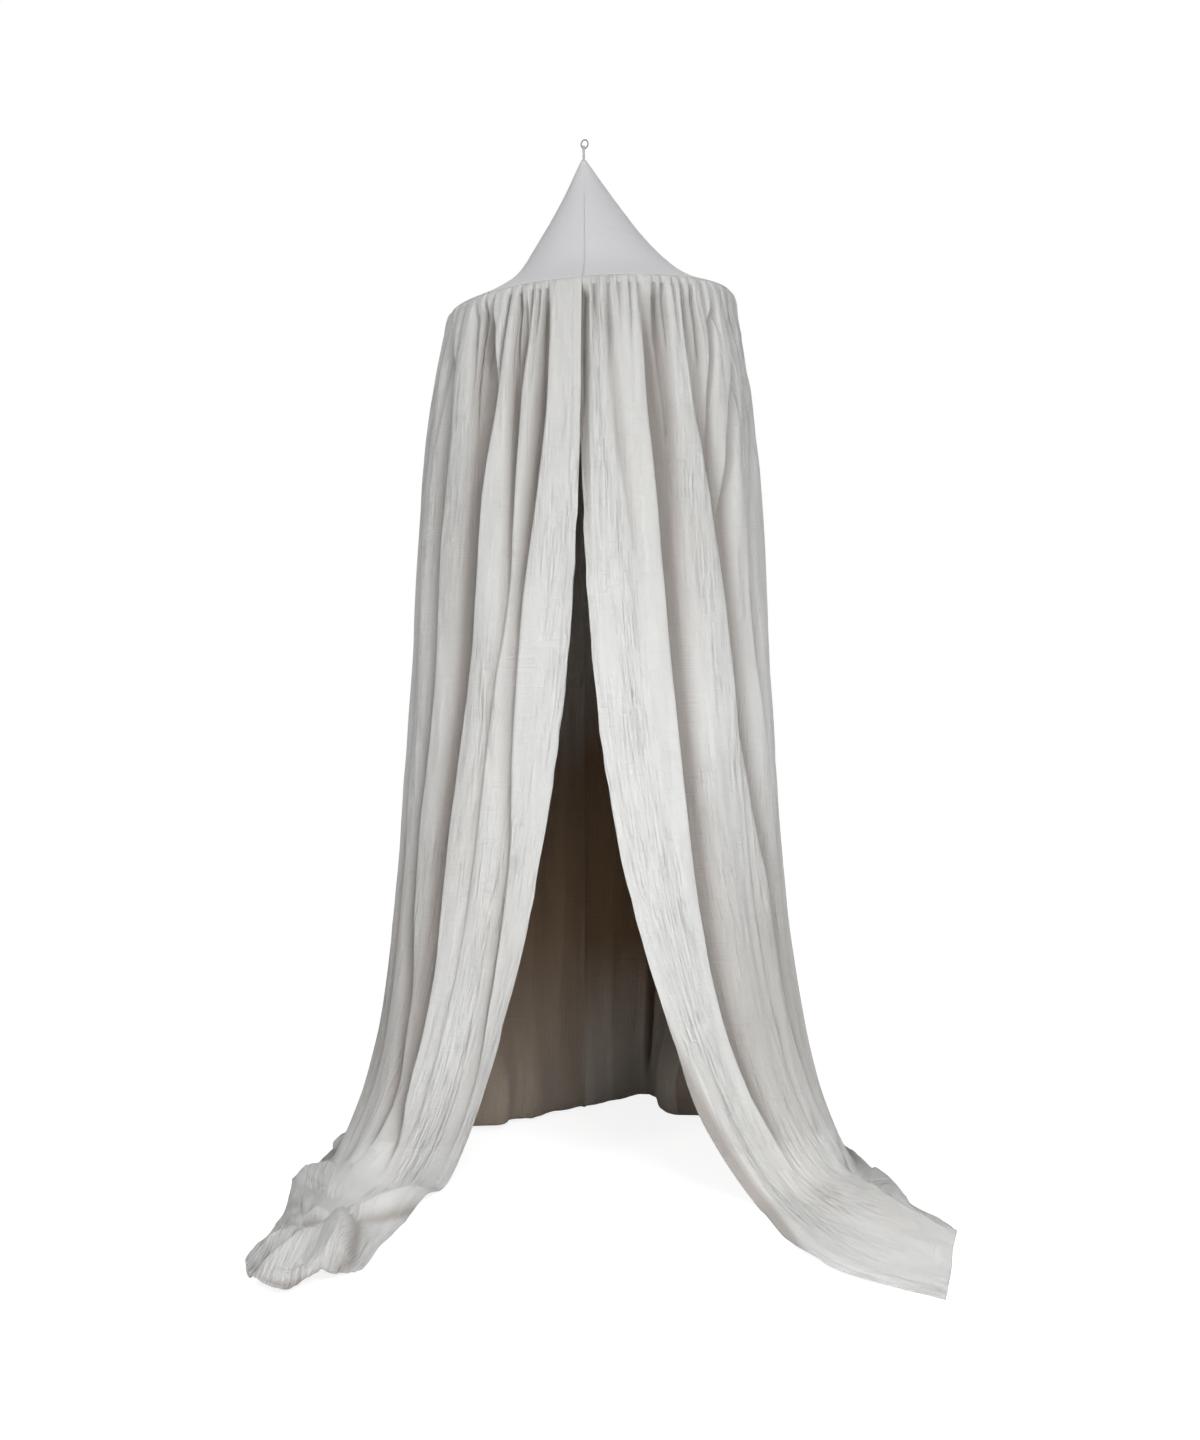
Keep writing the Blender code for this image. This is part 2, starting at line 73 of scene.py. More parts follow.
def ease(low: float, high: float, value: np.ndarray) -> np.ndarray:
    """Smooth step.

    Args:
        low: value at and below which the result is 0.
        high: value at and above which the result is 1.
        value: where to read the step.

    Returns:
        The step at each value.
    """
    share = np.clip((np.asarray(value, float) - low) / (high - low), 0.0, 1.0)
    return share * share * (3 - 2 * share)


def window(value: np.ndarray, rise: tuple[float, float], fall: tuple[float, float]) -> np.ndarray:
    """A share that eases in over the first stretch of values and out over the second."""
    return ease(*rise, value) * (1 - ease(*fall, value))


def bell(offset: np.ndarray, width: np.ndarray, power: float = 2.0) -> np.ndarray:
    """A bump of height 1 at offset 0, which falls off over its width."""
    return np.exp(-(np.abs(offset / width) ** power))


def unit(vectors: np.ndarray) -> np.ndarray:
    """The vectors at length 1."""
    return vectors / np.maximum(np.linalg.norm(vectors, axis=-1, keepdims=True), 1e-12)


def hermite(
    share: np.ndarray, start: np.ndarray, start_slope: np.ndarray, end: np.ndarray, end_slope: np.ndarray
) -> np.ndarray:
    """A smooth span between two values.

    Args:
        share: place in the span, from 0 to 1.
        start: value at 0.
        start_slope: slope there, times the length of the span.
        end: value at 1.
        end_slope: slope there, times the length of the span.

    Returns:
        The value at each place.
    """
    square = share * share
    cube = square * share
    return (
        start * (2 * cube - 3 * square + 1)
        + start_slope * (cube - 2 * square + share)
        + end * (3 * square - 2 * cube)
        + end_slope * (cube - square)
    )


def curve_value(keys: np.ndarray, values: np.ndarray, at: np.ndarray) -> np.ndarray:
    """Smooth curve through values at increasing keys.

    Args:
        keys: the places, increasing.
        values: one number or one row of numbers for each key.
        at: where to read the curve.

    Returns:
        The curve at each place, with a last axis when values has rows.
    """
    keys = np.asarray(keys, float)
    values = np.asarray(values, float)
    at = np.clip(np.asarray(at, float), keys[0], keys[-1])
    place = np.clip(np.searchsorted(keys, at, side="right") - 1, 0, len(keys) - 2)
    slopes = np.empty_like(values)
    for index in range(len(keys)):
        before = max(index - 1, 0)
        after = min(index + 1, len(keys) - 1)
        slopes[index] = (values[after] - values[before]) / (keys[after] - keys[before])
    span = keys[place + 1] - keys[place]
    share = (at - keys[place]) / span
    if values.ndim > 1:
        span = span[..., None]
        share = share[..., None]
    return hermite(share, values[place], slopes[place] * span, values[place + 1], slopes[place + 1] * span)


def soft_noise(u: np.ndarray, v: np.ndarray, cell_u: float, cell_v: float, seed: int) -> np.ndarray:
    """Smooth noise on the cloth, from -1 to 1.

    Args:
        u: place across the cloth in metres.
        v: place along the cloth in metres.
        cell_u: size of a lump across the cloth in metres.
        cell_v: size of a lump along the cloth in metres.
        seed: choice of pattern.

    Returns:
        The noise at each place.
    """
    count = 64
    table = np.random.default_rng(seed).uniform(-1, 1, (count, count))
    across = np.asarray(u, float) / cell_u
    along = np.asarray(v, float) / cell_v
    column = np.floor(across).astype(int)
    row = np.floor(along).astype(int)
    a = ease(0.0, 1.0, across - column)
    b = ease(0.0, 1.0, along - row)
    left = column % count
    right = (column + 1) % count
    near = table[row % count, left] * (1 - a) + table[row % count, right] * a
    far = table[(row + 1) % count, left] * (1 - a) + table[(row + 1) % count, right] * a
    return near * (1 - b) + far * b


def grid_normals(points: np.ndarray) -> np.ndarray:
    """Unit normals of a grid of points, from its columns crossed with its rows."""
    return unit(np.cross(np.gradient(points, axis=1), np.gradient(points, axis=0)))


def tube_quads(rows: int, count: int, closed: bool) -> np.ndarray:
    """Faces of a tube whose points lie in rows round it.

    Args:
        rows: number of rows.
        count: number of points in each.
        closed: whether the last row meets the first.

    Returns:
        Four point numbers for each face.
    """
    number = np.arange(rows * count).reshape(rows, count)
    below = np.roll(number, -1, axis=0)
    quads = np.stack([number, np.roll(number, -1, axis=1), np.roll(below, -1, axis=1), below], axis=-1)
    return (quads if closed else quads[:-1]).reshape(-1, 4)


def new_object(name: str, mesh: bpy.types.Mesh) -> bpy.types.Object:
    """A new object for a mesh.

    Args:
        name: name of the object.
        mesh: its mesh.

    Returns:
        The object, linked to the scene.
    """
    made = bpy.data.objects.new(name, mesh)
    bpy.context.scene.collection.objects.link(made)
    return made


def mesh_object(
    name: str, points: np.ndarray, quads: np.ndarray, uv: np.ndarray | None = None, smooth: bool = True
) -> bpy.types.Object:
    """An object made from points and four-sided faces.

    Args:
        name: name of the object.
        points: places, one row each.
        quads: four point numbers for each face.
        uv: place on the cloth in metres for each point, or None.
        smooth: whether the faces are shaded smooth.

    Returns:
        The new object, at the origin.
    """
    mesh = bpy.data.meshes.new(name)
    mesh.vertices.add(len(points))
    mesh.vertices.foreach_set("co", np.asarray(points, np.float32).ravel())
    mesh.loops.add(len(quads) * 4)
    mesh.loops.foreach_set("vertex_index", np.asarray(quads, np.int32).ravel())
    mesh.polygons.add(len(quads))
    mesh.polygons.foreach_set("loop_start", np.arange(len(quads), dtype=np.int32) * 4)
    mesh.polygons.foreach_set("use_smooth", np.full(len(quads), smooth))
    mesh.update(calc_edges=True)
    mesh.validate()
    if uv is not None:
        layer = mesh.uv_layers.new(name="Cloth")
        order = np.empty(len(mesh.loops), np.int32)
        mesh.loops.foreach_get("vertex_index", order)
        layer.data.foreach_set("uv", np.asarray(uv, np.float32)[order].ravel())
    return new_object(name, mesh)


def close_mesh(made: bpy.types.Object) -> None:
    """Fill the open ends of an object's mesh and turn its faces outwards.

    Args:
        made: the object.
    """
    shape = bmesh.new()
    shape.from_mesh(made.data)
    bmesh.ops.holes_fill(shape, edges=[edge for edge in shape.edges if edge.is_boundary], sides=0)
    bmesh.ops.recalc_face_normals(shape, faces=shape.faces)
    shape.to_mesh(made.data)
    shape.free()


def cloth_solid(
    name: str,
    outer: np.ndarray,
    wall: float,
    uv: np.ndarray,
    finishes: list[bpy.types.Material],
    shades: tuple[np.ndarray, ...] = (),
) -> bpy.types.Object:
    """A closed cloth of even thickness under a grid of outer points.

    Args:
        name: name of the object.
        outer: grid of points of the outer face, whose normals point out.
        wall: thickness of the cloth in metres.
        uv: place on the cloth in metres for each point of the grid.
        finishes: material of the outer face, and of the inner face if it has its own.
        shades: painted shade of the outer and the inner face, from 0 to 1, how much of the light folds keep
            off; or nothing.

    Returns:
        The new object.
    """
    rows, columns = outer.shape[:2]
    inner = outer - grid_normals(outer) * wall
    points = np.concatenate([outer.reshape(-1, 3), inner.reshape(-1, 3)])
    number = np.arange(rows * columns).reshape(rows, columns)
    count = rows * columns
    face = np.stack([number[:-1, :-1], number[:-1, 1:], number[1:, 1:], number[1:, :-1]], axis=-1)
    face = face.reshape(-1, 4)
    back = face[:, ::-1] + count
    rim = np.concatenate([number[0, :-1], number[:-1, -1], number[-1, :0:-1], number[:0:-1, 0]])
    after = np.roll(rim, -1)
    edge = np.stack([after, rim, rim + count, after + count], axis=-1)
    quads = np.concatenate([face, back, edge])
    made = mesh_object(name, points, quads, np.concatenate([uv.reshape(-1, 2)] * 2))
    for finish in finishes:
        made.data.materials.append(finish)
    # Painted shade: a point attribute that the cloth materials read to darken their colour.
    if shades:
        dark = made.data.attributes.new("painted_shade_share", "FLOAT", "POINT")
        dark.data.foreach_set("value", np.stack(shades).astype(np.float32).ravel())
    if len(finishes) > 1:
        slots = np.zeros(len(quads), np.int32)
        slots[len(face) : len(face) + len(back)] = 1
        made.data.polygons.foreach_set("material_index", slots)
    return made


def tube(
    name: str, path: list[Vector], radius: float, sides: int, finish: bpy.types.Material
) -> bpy.types.Object:
    """A round tube along a path that runs back into its start.

    Args:
        name: name of the object.
        path: points along the middle of the tube.
        radius: radius of the tube in metres.
        sides: points round its section.
        finish: its material.

    Returns:
        The new object.
    """
    points = []
    side = (path[1] - path[-1]).normalized().orthogonal().normalized()
    for index, place in enumerate(path):
        along = (path[(index + 1) % len(path)] - path[index - 1]).normalized()
        side = (side - along * side.dot(along)).normalized()
        over = along.cross(side)
        for step in range(sides):
            turn = math.tau * step / sides
            points.append(place + (side * math.cos(turn) + over * math.sin(turn)) * radius)
    made = mesh_object(name, np.array(points), tube_quads(len(path), sides, closed=True))
    close_mesh(made)
    made.data.materials.append(finish)
    return made


def rider(made: bpy.types.Object, body: Body) -> None:
    """Let a piece ride on a body, and say so in the log."""
    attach(made, body.value)
    LOG.info("%s rides on %s", made.name, body.value)


# ---- shader node groups and finishes


class NodeGraph:
    """Short calls for wiring a node tree."""

    def __init__(self, tree: bpy.types.NodeTree) -> None:
        """Start on a tree."""
        self.tree = tree

    def add(self, kind: str, **settings: object) -> bpy.types.Node:
        """Add a node.

        Args:
            kind: Blender's name of the node type.
            settings: attributes to set on it.

        Returns:
            The new node.
        """
        node = self.tree.nodes.new(kind)
        for key, value in settings.items():
            setattr(node, key, value)
        return node

    def link(self, source: bpy.types.NodeSocket, target: bpy.types.NodeSocket) -> None:
        """Wire an output to an input."""
        self.tree.links.new(source, target)

    def feed(self, node: bpy.types.Node, values: dict[object, object]) -> None:
        """Fill a node's inputs.

        Args:
            node: the node.
            values: by the input's name or number, an output to wire to it or its plain value.
        """
        for key, value in values.items():
            if isinstance(value, bpy.types.NodeSocket):
                self.link(value, node.inputs[key])
            else:
                node.inputs[key].default_value = value

    def put(self, kind: str, values: dict[object, object], **settings: object) -> object:
        """Add a node and fill its inputs.

        Args:
            kind: Blender's name of the node type.
            values: by the input's name or number, an output to wire to it or its plain value.
            settings: attributes to set on it.

        Returns:
            Its outputs.
        """
        node = self.add(kind, **settings)
        self.feed(node, values)
        return node.outputs

    def math(self, operation: str, first: object, second: object = 0.0) -> bpy.types.NodeSocket:
        """A Math node's result, from sockets or numbers."""
        return self.put("ShaderNodeMath", {0: first, 1: second}, operation=operation)[0]

    def scaled(self, vector: bpy.types.NodeSocket, across: object, along: object) -> bpy.types.NodeSocket:
        """The vector with its X and Y multiplied and its Z dropped.

        Args:
            vector: the vector's socket.
            across: factor on X, a socket or a number.
            along: factor on Y, a socket or a number.

        Returns:
            The output socket.
        """
        parts = self.put("ShaderNodeSeparateXYZ", {0: vector})
        x = self.math("MULTIPLY", parts[0], across)
        y = self.math("MULTIPLY", parts[1], along)
        return self.put("ShaderNodeCombineXYZ", {0: x, 1: y})[0]

    def noise(
        self, vector: bpy.types.NodeSocket, detail: float, scale: float = 1.0, rough: float = 0.5
    ) -> bpy.types.NodeSocket:
        """A Noise texture's value.

        Args:
            vector: where it is read.
            detail: its detail.
            scale: its scale.
            rough: its roughness.

        Returns:
            The output socket, about 0 to 1.
        """
        values = {"Vector": vector, "Scale": scale, "Detail": detail, "Roughness": rough}
        return self.put("ShaderNodeTexNoise", values)["Fac"]

    def mixed(
        self, factor: bpy.types.NodeSocket, first: object, second: object, blend: str = "MIX"
    ) -> bpy.types.NodeSocket:
        """Two colours mixed.

        Args:
            factor: share of the second.
            first: first colour, a socket or a value.
            second: second colour, a socket or a value.
            blend: Blender's name of the blend.

        Returns:
            The output socket.
        """
        node = self.add("ShaderNodeMix", data_type="RGBA", blend_type=blend)
        self.feed(node, {"Factor": factor, "A": first, "B": second})
        return node.outputs["Result"]

    def bump(
        self, height: bpy.types.NodeSocket, distance: float, before: bpy.types.NodeSocket | None = None
    ) -> bpy.types.NodeSocket:
        """A normal bent by a height.

        Args:
            height: the height's socket.
            distance: what a height of 1 is in metres.
            before: normal to start from, or None for the surface's own.

        Returns:
            The output socket.
        """
        start = {} if before is None else {"Normal": before}
        values = {"Strength": 1.0, "Distance": distance, "Height": height, **start}
        return self.put("ShaderNodeBump", values)["Normal"]

    def show_otherwise(
        self, lit: bpy.types.Node, shown: bpy.types.NodeSocket, share: float, end: str
    ) -> None:
        """Let the camera and mirrors see another shader than the one that gives the light.

        Args:
            lit: shader that gives the light.
            shown: shader that is seen.
            share: how much of it is seen, from 0 to 1.
            end: name of the output node.
        """
        paths = self.put("ShaderNodeLightPath", {})
        seen = self.math("MAXIMUM", paths["Is Camera Ray"], paths["Is Glossy Ray"])
        values = {0: self.math("MULTIPLY", seen, share), 1: lit.outputs[0], 2: shown}
        self.feed(self.tree.nodes[end], {"Surface": self.put("ShaderNodeMixShader", values)[0]})


def new_material(name: str) -> tuple[bpy.types.Material, NodeGraph, bpy.types.Node]:
    """A new material.

    Args:
        name: name of the material.

    Returns:
        The material, a graph on its nodes and its Principled shader.
    """
    made = bpy.data.materials.new(name)
    made.use_nodes = True
    return made, NodeGraph(made.node_tree), made.node_tree.nodes["Principled BSDF"]


def new_group(
    name: str, inputs: dict[str, float | None], outputs: tuple[str, ...]
) -> tuple[NodeGraph, object, object]:
    """An empty shader node group with named sockets.

    Args:
        name: name of the group.
        inputs: default for each input: a number, or None for a vector.
        outputs: names of the outputs, all numbers.

    Returns:
        A graph on the group, the outputs of its Group Input node and the inputs of its Group Output node.
    """
    group = bpy.data.node_groups.new(name, "ShaderNodeTree")
    for label, default in inputs.items():
        kind = "NodeSocketVector" if default is None else "NodeSocketFloat"
        socket = group.interface.new_socket(label, in_out="INPUT", socket_type=kind)
        if default is not None:
            socket.default_value = default
    for label in outputs:
        group.interface.new_socket(label, in_out="OUTPUT", socket_type="NodeSocketFloat")
    graph = NodeGraph(group)
    return graph, graph.add("NodeGroupInput").outputs, graph.add("NodeGroupOutput").inputs


class ClothPatterns:
    """The patterns that the cloths share: thread weave, gauze crinkle and tone drift."""

    def __init__(self) -> None:
        """Build the node groups once."""
        self.weave = self.build_weave()
        self.crinkle = self.build_crinkle()
        self.tone = self.build_tone()

    @staticmethod
    def build_weave() -> bpy.types.NodeTree:
        """Plain weave: crossing threads with a little slub in their thickness.

        Returns:
            A group that puts out a height and a mask of the gaps between threads.
        """
        graph, start, end = new_group(
            "Thread weave",
            {"Vector": None, "Threads across": 900.0, "Threads along": 800.0, "Slub": 0.4},
            ("Height", "Gaps"),
        )
        slub_across = graph.noise(graph.scaled(start["Vector"], 500.0, 14.0), 2.0)
        slub_along = graph.noise(graph.scaled(start["Vector"], 12.0, 420.0), 2.0)
        parts = graph.put("ShaderNodeSeparateXYZ", {0: start["Vector"]})
        threads = []
        for axis, count in enumerate(("Threads across", "Threads along")):
            turns = graph.math("MULTIPLY", start[count], math.tau)
            threads.append(graph.math("SINE", graph.math("MULTIPLY", parts[axis], turns)))
        slub = graph.math("MULTIPLY", graph.math("ADD", slub_across, slub_along), start["Slub"])
        half = graph.math("MULTIPLY", graph.math("MAXIMUM", *threads), 0.5)
        graph.link(graph.math("ADD", half, slub), end["Height"])
        under = graph.math("MULTIPLY", graph.math("ADD", *threads), -1.0)
        graph.link(graph.math("GREATER_THAN", under, 1.1), end["Gaps"])
        return graph.tree

    @staticmethod
    def build_crinkle() -> bpy.types.NodeTree:
        """Washed double gauze: streaks down the cloth broken by short cross ripples.

        Returns:
            A group that puts out a height.
        """
        graph, start, end = new_group(
            "Gauze crinkle", {"Vector": None, "Streaks": 230.0, "Length": 5.0, "Ripples": 0.35}, ("Height",)
        )
        streaks = graph.scaled(start["Vector"], start["Streaks"], start["Length"])
        streaks = graph.noise(streaks, 3.0, rough=0.55)
        sharp = graph.math("ABSOLUTE", graph.math("SUBTRACT", streaks, 0.5))
        creases = graph.math("SUBTRACT", 1.0, graph.math("MULTIPLY", sharp, 4.0))
        patches = graph.noise(graph.scaled(start["Vector"], 11.0, 2.2), 2.0)
        patches = graph.math("SUBTRACT", graph.math("MULTIPLY", patches, 2.6), 0.8)
        creases = graph.math("MULTIPLY", creases, graph.math("MAXIMUM", patches, 0.18))
        ripples = graph.noise(graph.scaled(start["Vector"], 16.0, 240.0), 2.0)
        ripples = graph.math("MULTIPLY", ripples, start["Ripples"])
        graph.link(graph.math("ADD", creases, ripples), end["Height"])
        return graph.tree

    @staticmethod
    def build_tone() -> bpy.types.NodeTree:
        """Slow drift of tone over the cloth, with a finer mottle.

        Returns:
            A group that puts out a mask from 0 to 1.
        """
        graph, start, end = new_group("Tone drift", {"Vector": None, "Scale": 5.0, "Mottle": 0.3}, ("Mask",))
        lengthwise = graph.math("MULTIPLY", start["Scale"], 0.35)
        broad = graph.noise(graph.scaled(start["Vector"], start["Scale"], lengthwise), 2.0)
        fine = graph.noise(graph.scaled(start["Vector"], 190.0, 120.0), 3.0)
        fine = graph.math("MULTIPLY", graph.math("SUBTRACT", fine, 0.5), start["Mottle"])
        graph.link(graph.math("ADD", broad, fine), end["Mask"])
        return graph.tree


Color = tuple[float, float, float]


@dataclass(frozen=True)
class ClothFinish:
    """A woven cloth and how it takes the light; shade is painted between threads and by a point attribute."""

    name: str
    light_tone: Color
    deep_tone: Color
    threads: tuple[float, float]
    weave_depth: float
    crinkle_depth: float
    streaks: float = 230.0
    ripples: float = 0.60
    roughness: float = 0.95
    sheen: float = 0.12
    drift_scale: float = 5.0
    # Painted shade: the colour is multiplied by this tone in the gaps between threads.
    painted_gap_shade: Color = (0.72, 0.71, 0.70)
    # Painted shade: colour multiplied towards this tone by the point attribute's share of kept-off light.
    painted_shade_tone: Color = (0.56, 0.525, 0.505)
    uses_uv: bool = True

    def build(self, patterns: ClothPatterns) -> bpy.types.Material:
        """Make the material.

        Args:
            patterns: the shared cloth patterns.

        Returns:
            The finished material.
        """
        made, graph, shader = new_material(self.name)
        place = graph.put("ShaderNodeTexCoord", {})["UV" if self.uses_uv else "Object"]
        weave, crinkle, tone = (
            graph.put("ShaderNodeGroup", {"Vector": place, **values}, node_tree=group)
            for group, values in (
                (patterns.weave, {"Threads across": self.threads[0], "Threads along": self.threads[1]}),
                (patterns.crinkle, {"Streaks": self.streaks, "Ripples": self.ripples}),
                (patterns.tone, {"Scale": self.drift_scale}),
            )
        )
        fold = graph.put("ShaderNodeAttribute", {}, attribute_name="painted_shade_share")
        color = graph.mixed(tone["Mask"], (*self.deep_tone, 1.0), (*self.light_tone, 1.0))
        # Painted shade: the colour is darkened in the gaps between threads.
        gaps = graph.math("MULTIPLY", weave["Gaps"], 0.5)
        color = graph.mixed(gaps, color, (*self.painted_gap_shade, 1.0), "MULTIPLY")
        # Painted shade: the colour is darkened where the point attribute says the light is kept off.
        color = graph.mixed(fold["Fac"], color, (*self.painted_shade_tone, 1.0), "MULTIPLY")
        coarse = graph.bump(crinkle["Height"], self.crinkle_depth)
        look = {
            "Base Color": color,
            "Normal": graph.bump(weave["Height"], self.weave_depth, coarse),
            "Roughness": self.roughness,
            "Specular IOR Level": 0.2,
            "Sheen Weight": self.sheen,
            "Sheen Roughness": 0.5,
        }
        graph.feed(shader, look)
        return made


@dataclass(frozen=True)
class HardFinish:
    """Metal wire, drawn tube or fibre rod: streaked along its length and a little worn."""

    name: str
    color: Color
    worn: Color
    metallic: float
    roughness: float
    streak_depth: float = 0.00003
    wear_range: tuple[float, float] = (0.42, 0.7)
    rough_swing: float = 0.2

    def build(self) -> bpy.types.Material:
        """Make the material.

        Returns:
            The finished material.
        """
        made, graph, shader = new_material(self.name)
        place = graph.put("ShaderNodeTexCoord", {})["Object"]
        blotches = graph.noise(place, 4.0, scale=260.0, rough=0.6)
        low, high = self.wear_range
        wear = graph.put("ShaderNodeMapRange", {"Value": blotches, "From Min": low, "From Max": high})
        scratches = graph.noise(graph.scaled(place, 2600.0, 300.0), 2.0)
        rough = graph.math("MULTIPLY", scratches, self.rough_swing)
        look = {
            "Base Color": graph.mixed(wear["Result"], (*self.color, 1.0), (*self.worn, 1.0)),
            "Roughness": graph.math("ADD", rough, self.roughness - self.rough_swing / 2),
            "Normal": graph.bump(scratches, self.streak_depth),
            "Metallic": self.metallic,
        }
        graph.feed(shader, look)
        return made


class Finishes:
    """Every finish of the canopy, built once."""

    def __init__(self) -> None:
        """Build the patterns and the materials."""
        patterns = ClothPatterns()
        gauze = ClothFinish(
            "Crinkled muslin", (0.67, 0.68, 0.675), (0.60, 0.585, 0.56), (620.0, 560.0), 0.0006, 0.0021
        )
        # The inside face: a warmer copy of the muslin whose deep brown tone paints the shade inside the
        # skirt.
        inside = ClothFinish(
            "Crinkled muslin inside, painted shade", (0.70, 0.66, 0.61), (0.60, 0.56, 0.51), gauze.threads, 0.0003, 0.0020,
            painted_shade_tone=(0.35, 0.24, 0.15),
        )
        cone = ClothFinish(
            "Smooth cone cloth", (0.64, 0.64, 0.65), (0.60, 0.60, 0.61), (900.0, 900.0), 0.00012, 0.0003,
            streaks=40.0, ripples=0.1, drift_scale=3.0,
        )
        tape = ClothFinish(
            "Woven tape", (0.58, 0.58, 0.59), (0.50, 0.50, 0.52), (2600.0, 1400.0), 0.00018, 0.0001,
            uses_uv=False,
        )
        thread = ClothFinish(
            "Sewing thread", (0.74, 0.73, 0.70), (0.66, 0.65, 0.62), (3000.0, 3000.0), 0.00008, 0.00005,
            uses_uv=False,
        )
        ring = HardFinish("Ring wire", (0.20, 0.205, 0.22), (0.12, 0.12, 0.125), 1.0, 0.42)
        rod = HardFinish("Fibre rod", (0.80, 0.78, 0.71), (0.70, 0.67, 0.60), 0.0, 0.5)
        sleeve = HardFinish("Drawn sleeve", (0.60, 0.60, 0.62), (0.42, 0.42, 0.43), 1.0, 0.4)
        self.muslin = gauze.build(patterns)
        self.muslin_inside_painted_shade = inside.build(patterns)
        self.cone_cloth = cone.build(patterns)
        self.tape_cloth = tape.build(patterns)
        self.thread = thread.build(patterns)
        self.ring_steel = ring.build()
        self.rod_fibre = rod.build()
        self.sleeve_steel = sleeve.build()


# ---- studio


@dataclass(frozen=True)
class Lamp:
    """A square soft lamp: where it stands, what it faces, its side in metres and its power in watts."""

    name: str
    place: tuple[float, float, float]
    aim: tuple[float, float, float]
    size: float
    power: float
    spread: float = math.pi

    def build(self) -> None:
        """Set the lamp up."""
        lamp = bpy.data.lights.new(self.name, "AREA")
        lamp.shape = "SQUARE"
        lamp.size = self.size
        lamp.energy = self.power
        lamp.spread = self.spread
        made = bpy.data.objects.new(self.name, lamp)
        made.location = self.place
        made.rotation_euler = (Vector(self.aim) - Vector(self.place)).to_track_quat("-Z", "Y").to_euler()
        bpy.context.scene.collection.objects.link(made)


@dataclass
class Studio:
    """Camera, floor, background and lamps."""

    eye: tuple[float, float, float] = (0.0262, -3.425, -1.0351)
    lens: float = 47.93
    floor_z: float = -1.8076
    floor_half_size: float = 14.0
    sky: float = 0.39
    floor_glow: float = 1.45
    glow_share: float = 0.6
    lamps: tuple[Lamp, ...] = (
        Lamp("Right light", (1.7, -3.6, 0.9), (0.0, 0.0, -1.0), 1.0, 63.0),
        Lamp("Left light", (-2.1, -3.4, 0.9), (0.0, 0.0, -1.0), 1.0, 54.0),
        Lamp("Front light", (0.3, -4.2, -0.3), (0.0, 0.0, -1.0), 1.5, 15.0),
        Lamp("Low light", (0.5, -2.5, 0.6), (0.28, -0.72, -1.85), 0.9, 8.2, math.radians(62)),
    )

    def build(self) -> None:
        """Place everything in the scene."""
        scene = bpy.context.scene
        scene.view_settings.view_transform = "Standard"
        lens = bpy.data.cameras.new("Camera")
        lens.lens = self.lens
        lens.sensor_width = 36.0
        lens.clip_end = 100.0
        camera = bpy.data.objects.new("Camera", lens)
        camera.location = self.eye
        camera.rotation_euler = (math.radians(90), 0.0, 0.0)
        scene.collection.objects.link(camera)
        scene.camera = camera
        self.build_sky()
        self.build_floor()
        for lamp in self.lamps:
            lamp.build()

    def build_sky(self) -> None:
        """An even pale sky that shows as white."""
        world = bpy.data.worlds.new("Studio")
        world.use_nodes = True
        bpy.context.scene.world = world
        graph = NodeGraph(world.node_tree)
        light = world.node_tree.nodes["Background"]
        graph.feed(light, {"Color": (0.985, 0.99, 1.0, 1.0), "Strength": self.sky})
        shown = graph.put("ShaderNodeBackground", {"Color": (1.0, 1.0, 1.0, 1.0)})[0]
        graph.show_otherwise(light, shown, 1.0, "World Output")

    def build_floor(self) -> None:
        """A pale floor that shows white and keeps a faint shadow."""
        half = self.floor_half_size
        z = self.floor_z
        points = np.array([(-half, -half, z), (half, -half, z), (half, half, z), (-half, half, z)])
        floor = mesh_object("Floor", points, np.array([[0, 1, 2, 3]]), smooth=False)
        made, graph, shader = new_material("Pale floor")
        graph.feed(shader, {"Base Color": (0.8, 0.8, 0.8, 1.0), "Roughness": 0.9})
        white = {"Color": (1.0, 1.0, 1.0, 1.0), "Strength": self.floor_glow}
        glow = graph.put("ShaderNodeEmission", white)[0]
        graph.show_otherwise(shader, glow, self.glow_share, "Material Output")
        floor.data.materials.append(made)


# ---- the hoop's frame


@dataclass(frozen=True)
class HoopFrame:
    """Where the tilted hoop stands, and the cloth's seam round it."""

    centre: tuple[float, float, float] = (0.011, 0.0, -0.3048)
    radius: float = 0.250
    tilt: float = math.radians(4.27)
    seam_rise: float = 0.0068
    rod_circle: float = 0.2399

    def place(self, angle: np.ndarray, radius: np.ndarray, rise: np.ndarray) -> np.ndarray:
        """World places in the hoop's own frame.

        Args:
            angle: direction from the front in radians.
            radius: distance from the middle.
            rise: height over the hoop's plane.

        Returns:
            Places with X Y Z as last axis.
        """
        angle, radius, rise = np.broadcast_arrays(angle, radius, rise)
        sideways = -np.sin(angle) * radius
        cos = math.cos(self.tilt)
        sin = math.sin(self.tilt)
        x = self.centre[0] + sideways * cos - rise * sin
        return np.stack([x, -np.cos(angle) * radius, self.centre[2] + sideways * sin + rise * cos], axis=-1)


# ---- the skirt's tables


@dataclass(frozen=True)
class FoldLine:
    """A valley that runs down the skirt, steeper on one side where the cloth laps over it.

    Each point of the path is its drop from 0 at the hoop to 1 at the floor, its direction in degrees, and its
    depth in steps of the shape's fold_scale. The widths are those of its sides as seen from the front, in
    millimetres.
    """

    path: tuple[tuple[float, float, float], ...]
    left: float
    right: float
    power: float = 1.9


@dataclass(frozen=True)
class FloorFold:
    """A ridge of the cloth that lies on the floor.

    The path and the height are in metres, the path from under the middle of the hoop. The widths are those of
    the sides to the left and right of it when one looks along it.
    """

    path: tuple[tuple[float, float], ...]
    height: float
    left: float
    right: float


